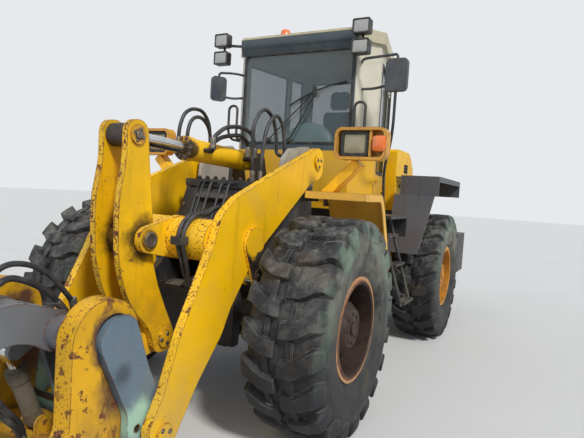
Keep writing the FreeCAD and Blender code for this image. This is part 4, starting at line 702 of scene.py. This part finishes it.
# A bar's sections: outer radius and y, inner radius and y, how far it leads, half its width
BAR = (
    (0.726, 0.008, 0.690, 0.006, 0.000, 0.040), (0.738, 0.014, 0.690, 0.010, 0.000, 0.047),
    (0.741, 0.026, 0.690, 0.020, 0.000, 0.049), (0.742, 0.100, 0.690, 0.100, 0.010, 0.052),
    (0.741, 0.128, 0.688, 0.124, 0.022, 0.054), (0.739, 0.190, 0.676, 0.176, 0.066, 0.059),
    (0.735, 0.220, 0.662, 0.200, 0.082, 0.064), (0.722, 0.238, 0.650, 0.212, 0.086, 0.066),
    (0.694, 0.2485, 0.636, 0.222, 0.086, 0.064), (0.652, 0.2565, 0.620, 0.232, 0.084, 0.058),
    (0.618, 0.2590, 0.600, 0.240, 0.082, 0.050), (0.598, 0.2535, 0.590, 0.242, 0.081, 0.044))
BARS, SLOPE, CHAMFER, SHOULDER = 20, 0.010, 0.005, 0.12
# The tie between two bars: (radius, distance round) of its section, and y of its sections
TIE = ((0.690, -0.07), (0.718, -0.06), (0.718, 0.06), (0.690, 0.07))
TIE_Y = (0.060, 0.064, 0.092, 0.096)


def round_wheel(section, row, turn):
    """The (radius, y, distance round) points of a section, turned about the wheel's axis along Y."""
    loop = []
    for r, y, along in section:
        a = turn + along / TYRE_R
        loop.append((r * math.cos(a), row * y, r * math.sin(a)))
    return loop


def tread_bar(row, turn):
    """One tread bar of the row on that side of the tyre's middle."""
    loops = []
    for out_r, out_y, in_r, in_y, lead, half in BAR:
        edge_r, edge_y = out_r + (in_r - out_r) * SHOULDER, out_y + (in_y - out_y) * SHOULDER
        loops.append(round_wheel(
            ((in_r, in_y, lead - half - SLOPE), (edge_r, edge_y, lead - half),
             (out_r, out_y, lead + CHAMFER - half), (out_r, out_y, lead),
             (out_r, out_y, lead + half - CHAMFER), (edge_r, edge_y, lead + half),
             (in_r, in_y, lead + half + SLOPE)), row, turn))
    return stacked(loops)


for wheel, (centre, side) in WHEELS.items():
    tyre = Piece(f"tyre_tread_{wheel}", "seal", f"wheel_{wheel}", "tyre_rubber")
    shape = [(r, y) for r, y in CARCASS] + [(r, -y) for r, y in reversed(CARCASS)]
    tyre.add(ring_of(shape, 96), aim(centre, Y))
    for row in (1, -1):
        for step in range(BARS):
            turn = -(step + 0.25 * (1 + row)) * 2 * math.pi / BARS
            tyre.add(tread_bar(row, turn), Matrix.Translation(centre))
            tie = [round_wheel([(r, y, along) for r, along in TIE], row, turn + math.pi / BARS)
                   for y in TIE_Y]
            tyre.add(stacked(tie), Matrix.Translation(centre))
    tyre_piece = tyre.done(28.0)
    wear(tyre_piece, NODES[f"tyre_{wheel}"].data.materials[0])
    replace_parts(tyre_piece, f"tyre_{wheel}")

# Head lamps: dark housing, ribbed glass and amber signal
for side_name, side in SIDES:
    body_at = at(LAMP_X, side * (LAMP_Y - 50), LAMP_Z)
    signal_at = at(LAMP_X - 20, side * (LAMP_Y + 152), LAMP_Z)
    single(f"lamp_housing_{side_name}", "seal", "front_frame", "black_plastic",
           frame_ring(0.112, 0.096, 0.026, 0.082, 0.030), aim(body_at + X * -0.048, X, Z))
    single(f"lamp_glass_{side_name}", "lamp_glass", "front_frame", "window_glass",
           dome(0.088, 0.072, 0.006, 0.008, 0.020), aim(body_at + X * 0.018, X, Z))
    single(f"turn_signal_{side_name}", "amber", "front_frame", "black_plastic",
           dome(0.052, 0.057, 0.080, 0.012, 0.026), aim(signal_at, X, Z))

# Roof lamps and beacon
lamps = Piece("work_lamp_glass", "work_lamp", "rear_frame", "window_glass")
rims = Piece("work_lamp_rims", "plastic", "rear_frame", "black_plastic")
for y, z in ((690, 3165), (690, 2985), (-845, 3165), (-845, 2985)):
    place = at(410, y, z)
    lamps.add(dome(0.068, 0.052, 0.003, 0.006, 0.012), aim(place, X, Z))
    rims.add(frame_ring(0.084, 0.068, 0.014, 0.010, 0.016), aim(place + X * -0.002, X, Z))
for y in (-430, 430):
    place = at(-1075, y, 3250)
    lamps.add(dome(0.058, 0.048, 0.003, 0.006, 0.012), aim(place, -X, Z))
    rims.add(frame_ring(0.072, 0.062, 0.012, 0.010, 0.012), aim(place + X * 0.002, -X, Z))
lamps.done()
rims.done()
single("beacon_dome", "amber", "rear_frame", "black_plastic",
       turned([(0.061, 0), (0.062, 0.006), (0.060, 0.020), (0.048, 0.088), (0.040, 0.097),
               (0.022, 0.103), (0.002, 0.105)]), aim(at(100, -260, ROOF_Z), Z))

# Mirror glass on the driver's side of both heads, and the left head's light rim
mirror = Piece("mirror_glass", "mirror", "rear_frame", "window_glass")
mirror.add(slab(0.082, 0.125, 0.004, 0.030), aim(at(393, 1050, 2705), -X, Z))
swing = math.radians(55)
aft = Vector((-math.cos(swing), -math.sin(swing), 0))
mirror.add(slab(0.066, 0.110, 0.004, 0.030), aim(at(415, -845, 2665) + aft * 0.022, aft, Z))
mirror.done()
single("mirror_rim", "steel", "rear_frame", "black_plastic",
       frame_ring(0.099, 0.142, 0.008, 0.012, 0.042), aim(at(400, 1050, 2705), -X, Z))

# Glossy header from the windscreen to the roof's edge, and the cowl over the instruments
outline = ((290, 3012), (297, 3006), (334, 3084), (338, 3092), (338, 3168), (330, 3172), (330, 3078))
single("windscreen_header", "header", "rear_frame", "black_plastic",
       stacked([[at(x, y, z) for x, z in outline] for y in (-640, -636, 636, 640)]))
arcs = []
for part in (0.0, 0.35, 0.65, 0.88, 1.0):
    swell = math.sqrt(1.0 - 0.96 * part * part)
    arcs.append([at(130 + 90 * part, 100 + 300 * swell * math.cos(math.pi * i / 16),
                    2062 + 290 * swell * math.sin(math.pi * i / 16)) for i in range(17)])
single("dash_cowl", "cowl", "rear_frame", "black_plastic", stacked(arcs))

# Seals of the windscreen and the rear window, and the wiper
seals = Piece("window_seals", "seal", "rear_frame", "black_plastic")
seals.add(frame_ring(0.607, 0.455, 0.022, 0.010, 0.040), aim(at(SCREEN_X, 0, SCREEN_Z), X, Z))
seals.add(frame_ring(0.487, 0.455, 0.030, 0.010, 0.050), aim(at(REAR_GLASS_X, 0, SCREEN_Z), -X, Z))
seals.done()
wiper = Piece("wiper", "seal", "rear_frame", "black_plastic")
for radius, path in (
        (0.009, ((306, -45, 2490), (307, 60, 2552), (308, 218, 2622), (307, 380, 2672),
                 (306, 540, 2704))),
        (0.007, ((312, -31, 2150), (318, 96, 2358), (314, 236, 2612))),
        (0.006, ((312, -271, 2150), (318, -81, 2331), (314, 214, 2606)))):
    wiper.add(swept([at(*spot) for spot in path], radius, 6))
wiper.add(slab(0.050, 0.022, 0.016, 0.008), aim(at(308, 224, 2615), X, Y))
for y in (-31, -271):
    wiper.add(turned([(0.026, 0), (0.026, 0.014), (0.016, 0.022)], 16), aim(at(300, y, 2150), X))
wiper.done()

# Bolts of the tilt cylinder's gland, on the barrel's end face
gland = Piece("gland_bolts", "dark", "tilt_barrel", "dark_paint")
along = Vector((BELL_TOP[0] - TILT_BASE[0], 0, BELL_TOP[1] - TILT_BASE[1])).normalized()
start = on_pin(TILT_BASE)
face = start + along * ((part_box("tilt_barrel")[1][0] - 0.0035 - start.x) / along.x)
rise = along.cross(Y)
for i in range(10):
    a = 2 * math.pi * i / 10
    spot = face + Y * 0.070 * math.cos(a) + rise * 0.070 * math.sin(a)
    gland.add(hexagon(0.012, 0.012), aim(spot, along))
gland.done()

# Hose fittings: a hexagon nut and a crimped sleeve at each end of a hose
for body, ends in (
        ("tilt_barrel", [(place, Z) for place in (
            (1793, -150, 1912), (1415, -150, 1902), (1738, -115, 1912), (1452, -115, 1904),
            (1772, 150, 1912), (1210, 150, 1894), (1721, 115, 1910), (1262, 115, 1896))]),
        ("front_frame", [((1430, 285, 1701), (25, 0, 238)), ((1385, 322, 1701), (-12, 0, 209))]),
        ("tool", [((2903, 178, 942), (35, 0, 120)), ((2939, 142, 946), (140, 0, 172)),
                  ((3190, 178, 292), Z), ((3150, 142, 292), Z)])):
    fittings = Piece(f"hose_fittings_{body}", "steel", body, "worn_steel")
    for place, ahead in ends:
        matrix = aim(at(*place), ahead)
        fittings.add(turned([(0.0215, 0.022), (0.0215, 0.074), (0.0195, 0.080)], 16), matrix)
        fittings.add(turned([(0.024, 0), (0.024, 0.022), (0.022, 0.024)], 6), matrix)
    fittings.done()

# Tower: bolts round its front panel. The valve block's plugs are in the piece of the pipe clamps
tower_out, tower_up = Vector((0.926, 0, 0.376)), Vector((-0.376, 0, 0.926))
tower = Piece("tower_fasteners", "steel", "front_frame", "worn_steel")
clamps = Piece("pipe_clamps", "dark", "front_frame", "dark_paint")


def on_tower(part, y):
    """A point on the tower's leaning front, where part runs from 0 low down to 1 high up."""
    return at(1640 - 215 * part, y, 1150 + 530 * part)


for part in (0.08, 0.36, 0.64, 0.92):
    for y in (-315, 315):
        tower.add(hexagon(0.012, 0.009), aim(on_tower(part, y), tower_out))
for part in (0.32, 0.74):
    spot = on_tower(part, -10)
    clamps.add(slab(0.162, 0.022, 0.098 - 0.02 * part, 0.006), aim(spot, tower_out, tower_up))
    for y in (-0.125, -0.03, 0.065, 0.135):
        bolt_at = spot + Y * y + tower_out * (0.097 - 0.02 * part)
        tower.add(hexagon(0.009, 0.007), aim(bolt_at, tower_out))
for y in (-240, -160, -80, 0, 80, 160, 240):
    plug = turned([(0.018, 0), (0.018, 0.016), (0.015, 0.019), (0.011, 0.019), (0.011, 0.026)], 6)
    clamps.add(plug, aim(at(1410, y, 1700), Z))
tower.done()
clamps.done()

# Axle covers with their bolts
COVER = ((0.206, 0), (0.206, 0.022), (0.150, 0.026), (0.118, 0.075), (0.075, 0.082))
for body, x in (("front_frame", AXLE_X), ("rear_frame", -AXLE_X)):
    cover = Piece(f"axle_cover_{body}", "dark", body, "dark_paint")
    bolts = Piece(f"axle_bolts_{body}", "steel", body, "worn_steel")
    for way in (-1, 1):
        place = at(x + way * 128, 0, AXLE_Z)
        cover.add(turned(COVER, 40), aim(place, X * way))
        for i in range(12):
            a = math.radians(30 * i + 15)
            spot = place + X * way * 0.024 + Y * 0.183 * math.cos(a) + Z * 0.183 * math.sin(a)
            bolts.add(hexagon(0.012, 0.010), aim(spot, X * way))
    cover.done()
    bolts.done()

# Hood: panel seams, latches and rear lamps; reflectors on the counterweight
seams = Piece("hood_seams", "seal", "rear_frame", "black_plastic")
latches = Piece("hood_latches", "plastic", "rear_frame", "black_plastic")
red = Piece("rear_lamps_red", "red", "rear_frame", "black_plastic")
orange = Piece("rear_lamps_amber", "amber", "rear_frame", "black_plastic")
for _, side in SIDES:
    out = Vector((0, side, 0))
    for x0, x1 in ((-2900, -2120), (-2080, -1250)):
        middle = at((x0 + x1) / 2, side * HOOD_Y, 1575)
        seams.add(frame_ring((x1 - x0) / 2000, 0.275, 0.007, 0.003, 0.030, 0.001), aim(middle, out, Z))
        for x in (x0 + 130, x1 - 130):
            latches.add(slab(0.045, 0.020, 0.012, 0.010), aim(at(x, side * HOOD_Y, 1795), out, Z))
    for z, lamp_piece in ((1760, red), (1650, orange)):
        lamp_piece.add(dome(0.038, 0.045, 0.012, 0.008, 0.012),
                       aim(at(HOOD_BACK_X, side * 560, z), -X, Z))
    latches.add(frame_ring(0.048, 0.110, 0.010, 0.016, 0.016),
                aim(at(HOOD_BACK_X, side * 560, 1705), -X, Z))
    red.add(slab(0.050, 0.022, 0.006, 0.006), aim(at(WEIGHT_BACK_X, side * 700, 1080), -X, Z))
for batch in (seams, latches, red, orange):
    batch.done()

# Seals of the side windows: side, from and to along the wall, height from and to, piece
door_seals = Piece("door_seals", "seal", "cab_door", "black_plastic")
side_seals = Piece("side_window_seals", "seal", "rear_frame", "black_plastic")
for side, start, end, low, high, batch in (
        (1, 156, 694, 1880, 2944, door_seals), (1, 805, 1052, 2130, 3010, side_seals),
        (-1, 805, 1052, 2130, 3010, side_seals), (-1, 90, 760, 2130, 3010, side_seals)):
    out = Vector((-math.sin(LEAN), side * math.cos(LEAN), 0))
    mid, half_w, half_h = (start + end) / 2, (end - start) / 2000 + 0.012, (high - low) / 2000 + 0.012
    place = at(WALL_X - mid * math.cos(LEAN), side * (WALL_Y - mid * math.sin(LEAN)), (low + high) / 2)
    batch.add(frame_ring(half_w, half_h, 0.030, 0.010, 0.040), aim(place - out * 0.004, out, Z))
door_seals.done()
side_seals.done()

# Weld beads on the fork's deck
bead = Piece("fork_welds", "fork", "tool", "yellow_paint")
for _, side in SIDES:
    for z in (291, 254):
        path = [at(2830 + 8 * i, side * 333, z) for i in range(48)]
        bead.add(swept(path, 0.008, 6, [1.0 + 0.25 * ((i * 7) % 5 - 2) / 2 for i in range(48)]))
bead.done()


# Seat: a bellows base, and three pads swelled by cloth pressure
PAD_MESH, PRESSURE, CLOTH_FRAMES = 0.008, 4.0, 20


def swelled(name, half_x, half_y, depth, matrix, cap):
    """A closed pad that swells from a rounded block; no point of it moves farther than cap."""
    block = Piece(name, "fabric", "rear_frame", "seat_fabric")
    block.add(slab(half_x, half_y, depth, 0.07, 0.03), matrix)
    pad = block.done(180.0)
    remesh = pad.modifiers.new("remesh", "REMESH")
    remesh.mode = "VOXEL"
    remesh.voxel_size = PAD_MESH
    pad.data = baked(pad)
    start = [v.co.copy() for v in pad.data.vertices]
    cloth = pad.modifiers.new("cloth", "CLOTH")
    cloth.settings.use_pressure = True
    cloth.settings.uniform_pressure_force = PRESSURE
    cloth.settings.effector_weights.gravity = 0.0
    for number in range(1, CLOTH_FRAMES + 1):
        bpy.context.scene.frame_set(number)
    pad.data = baked(pad)
    bpy.context.scene.frame_set(1)
    for vertex, rest in zip(pad.data.vertices, start):
        moved = vertex.co - rest
        if moved.length > cap:
            vertex.co = rest + moved.normalized() * cap
    return pad


def baked(obj):
    """The object's mesh with its modifiers applied, which are then removed."""
    bpy.context.view_layer.update()
    graph = bpy.context.evaluated_depsgraph_get()
    mesh = bpy.data.meshes.new_from_object(obj.evaluated_get(graph))
    obj.modifiers.clear()
    for face in mesh.polygons:
        face.use_smooth = True
    return mesh


def channels(pad, axis, places, depth, width):
    """Sewn channels: presses the pad towards its middle along lines across one axis."""
    middle = sum((v.co for v in pad.data.vertices), Vector()) / len(pad.data.vertices)
    for vertex in pad.data.vertices:
        for place in places:
            near = math.exp(-((vertex.co[axis] - place) / width) ** 2)
            vertex.co += (middle - vertex.co).normalized() * depth * near
    smooth = pad.modifiers.new("smooth", "SUBSURF")
    smooth.levels = smooth.render_levels = 1
    pad.data = baked(pad)


seat_base = Piece("seat_base", "plastic", "rear_frame", "black_plastic")
for z, half in ((1545, 0.18), (1610, 0.15), (1670, 0.165), (1730, 0.15), (1790, 0.165), (1850, 0.18)):
    seat_base.add(slab(half, half, 0.050, 0.03, 0.012), aim(at(-590, 0, z), Z, Y))
headrest = swelled("seat_headrest", 0.125, 0.115, 0.07, aim(at(-880, 0, 2752), X, Z), 0.020)
cushion = swelled("seat_cushion", 0.225, 0.235, 0.10, aim(at(-580, 0, 1912), Z, Y), 0.026)
channels(cushion, 1, (-0.13, 0.13), 0.010, 0.012)
backrest = swelled("seat_back", 0.225, 0.315, 0.075, aim(at(-882, 0, 2330), X, Z), 0.026)
channels(backrest, 2, (2.18, 2.46), 0.010, 0.012)
for piece in (cushion, backrest, headrest):
    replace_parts(piece, "seat")
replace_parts(seat_base.done(), "seat")

# Floor
floor_mesh = bpy.data.meshes.new("floor")
floor_mesh.from_pydata([(-60, -60, 0), (60, -60, 0), (60, 60, 0), (-60, 60, 0)], [], [(0, 1, 2, 3)])
floor = bpy.data.objects.new("floor", floor_mesh)
bpy.context.scene.collection.objects.link(floor)
ground = Shader("floor_paint")
tone = ground.step(ground.noise(0.7, 4.0), 0.3, 0.7)
grey = ground.shade(rgb(214, 214, 212), tone, 0.97, 1.0)
floor_mesh.materials.append(ground.finish(grey, 0.9, round_edges=0))


# Light and camera
def sun(name, energy, direction, spread, colour):
    data = bpy.data.lights.new(name, "SUN")
    data.energy = energy
    data.angle = math.radians(spread)
    data.color = colour
    obj = bpy.data.objects.new(name, data)
    obj.rotation_euler = Vector(direction).to_track_quat("-Z", "Y").to_euler()
    bpy.context.scene.collection.objects.link(obj)


sun("key", 2.7, (-0.42, -0.62, -0.74), 9, (1.0, 0.98, 0.95))
sun("fill", 0.5, (-0.80, 0.45, -0.35), 60, (0.90, 0.95, 1.0))
world = bpy.data.worlds.new("world")
world.use_nodes = True
bpy.context.scene.world = world
tree = world.node_tree
tree.nodes.clear()
ray = tree.nodes.new("ShaderNodeLightPath").outputs
seen = ray["Is Camera Ray"]
for kind in ("Is Glossy Ray", "Is Transmission Ray"):
    added = tree.nodes.new("ShaderNodeMath")
    added.operation = "ADD"
    added.use_clamp = True
    tree.links.new(seen, added.inputs[0])
    tree.links.new(ray[kind], added.inputs[1])
    seen = added.outputs[0]
# Soft light falls on the machine; the camera and reflections see the paler grey
mixed = tree.nodes.new("ShaderNodeMixShader")
tree.links.new(seen, mixed.inputs[0])
for socket, colour, strength in ((1, (0.80, 0.88, 1.0, 1), 0.42), (2, (0.80, 0.82, 0.84, 1), 1.0)):
    sky = tree.nodes.new("ShaderNodeBackground")
    sky.inputs["Color"].default_value = colour
    sky.inputs["Strength"].default_value = strength
    tree.links.new(sky.outputs[0], mixed.inputs[socket])
tree.links.new(mixed.outputs[0], tree.nodes.new("ShaderNodeOutputWorld").inputs[0])

# The camera as fitted to the photo: focal length and width in pixels, angles, place in metres
FOCAL_PX, IMAGE_W = 495.56, 584
camera = bpy.data.cameras.new("camera")
camera.sensor_width = 36.0
camera.lens = FOCAL_PX / IMAGE_W * camera.sensor_width
camera.clip_end = 300.0
yaw, pitch, roll = 3.62503772, -0.0532153, 0.0622875
CAMERA_AT = (4.3063, 2.3416, 1.6337)
look = Vector((math.cos(yaw) * math.cos(pitch), math.sin(yaw) * math.cos(pitch), math.sin(pitch)))
right = Vector((math.sin(yaw), -math.cos(yaw), 0))
up = right.cross(look)
tilted = right * math.cos(roll) + up * math.sin(roll)
up = up * math.cos(roll) - right * math.sin(roll)
eye = bpy.data.objects.new("camera", camera)
eye.matrix_world = Matrix.Translation(CAMERA_AT) @ Matrix((tilted, up, -look)).transposed().to_4x4()
bpy.context.scene.collection.objects.link(eye)
bpy.context.scene.camera = eye
bpy.context.scene.view_settings.view_transform = "Standard"
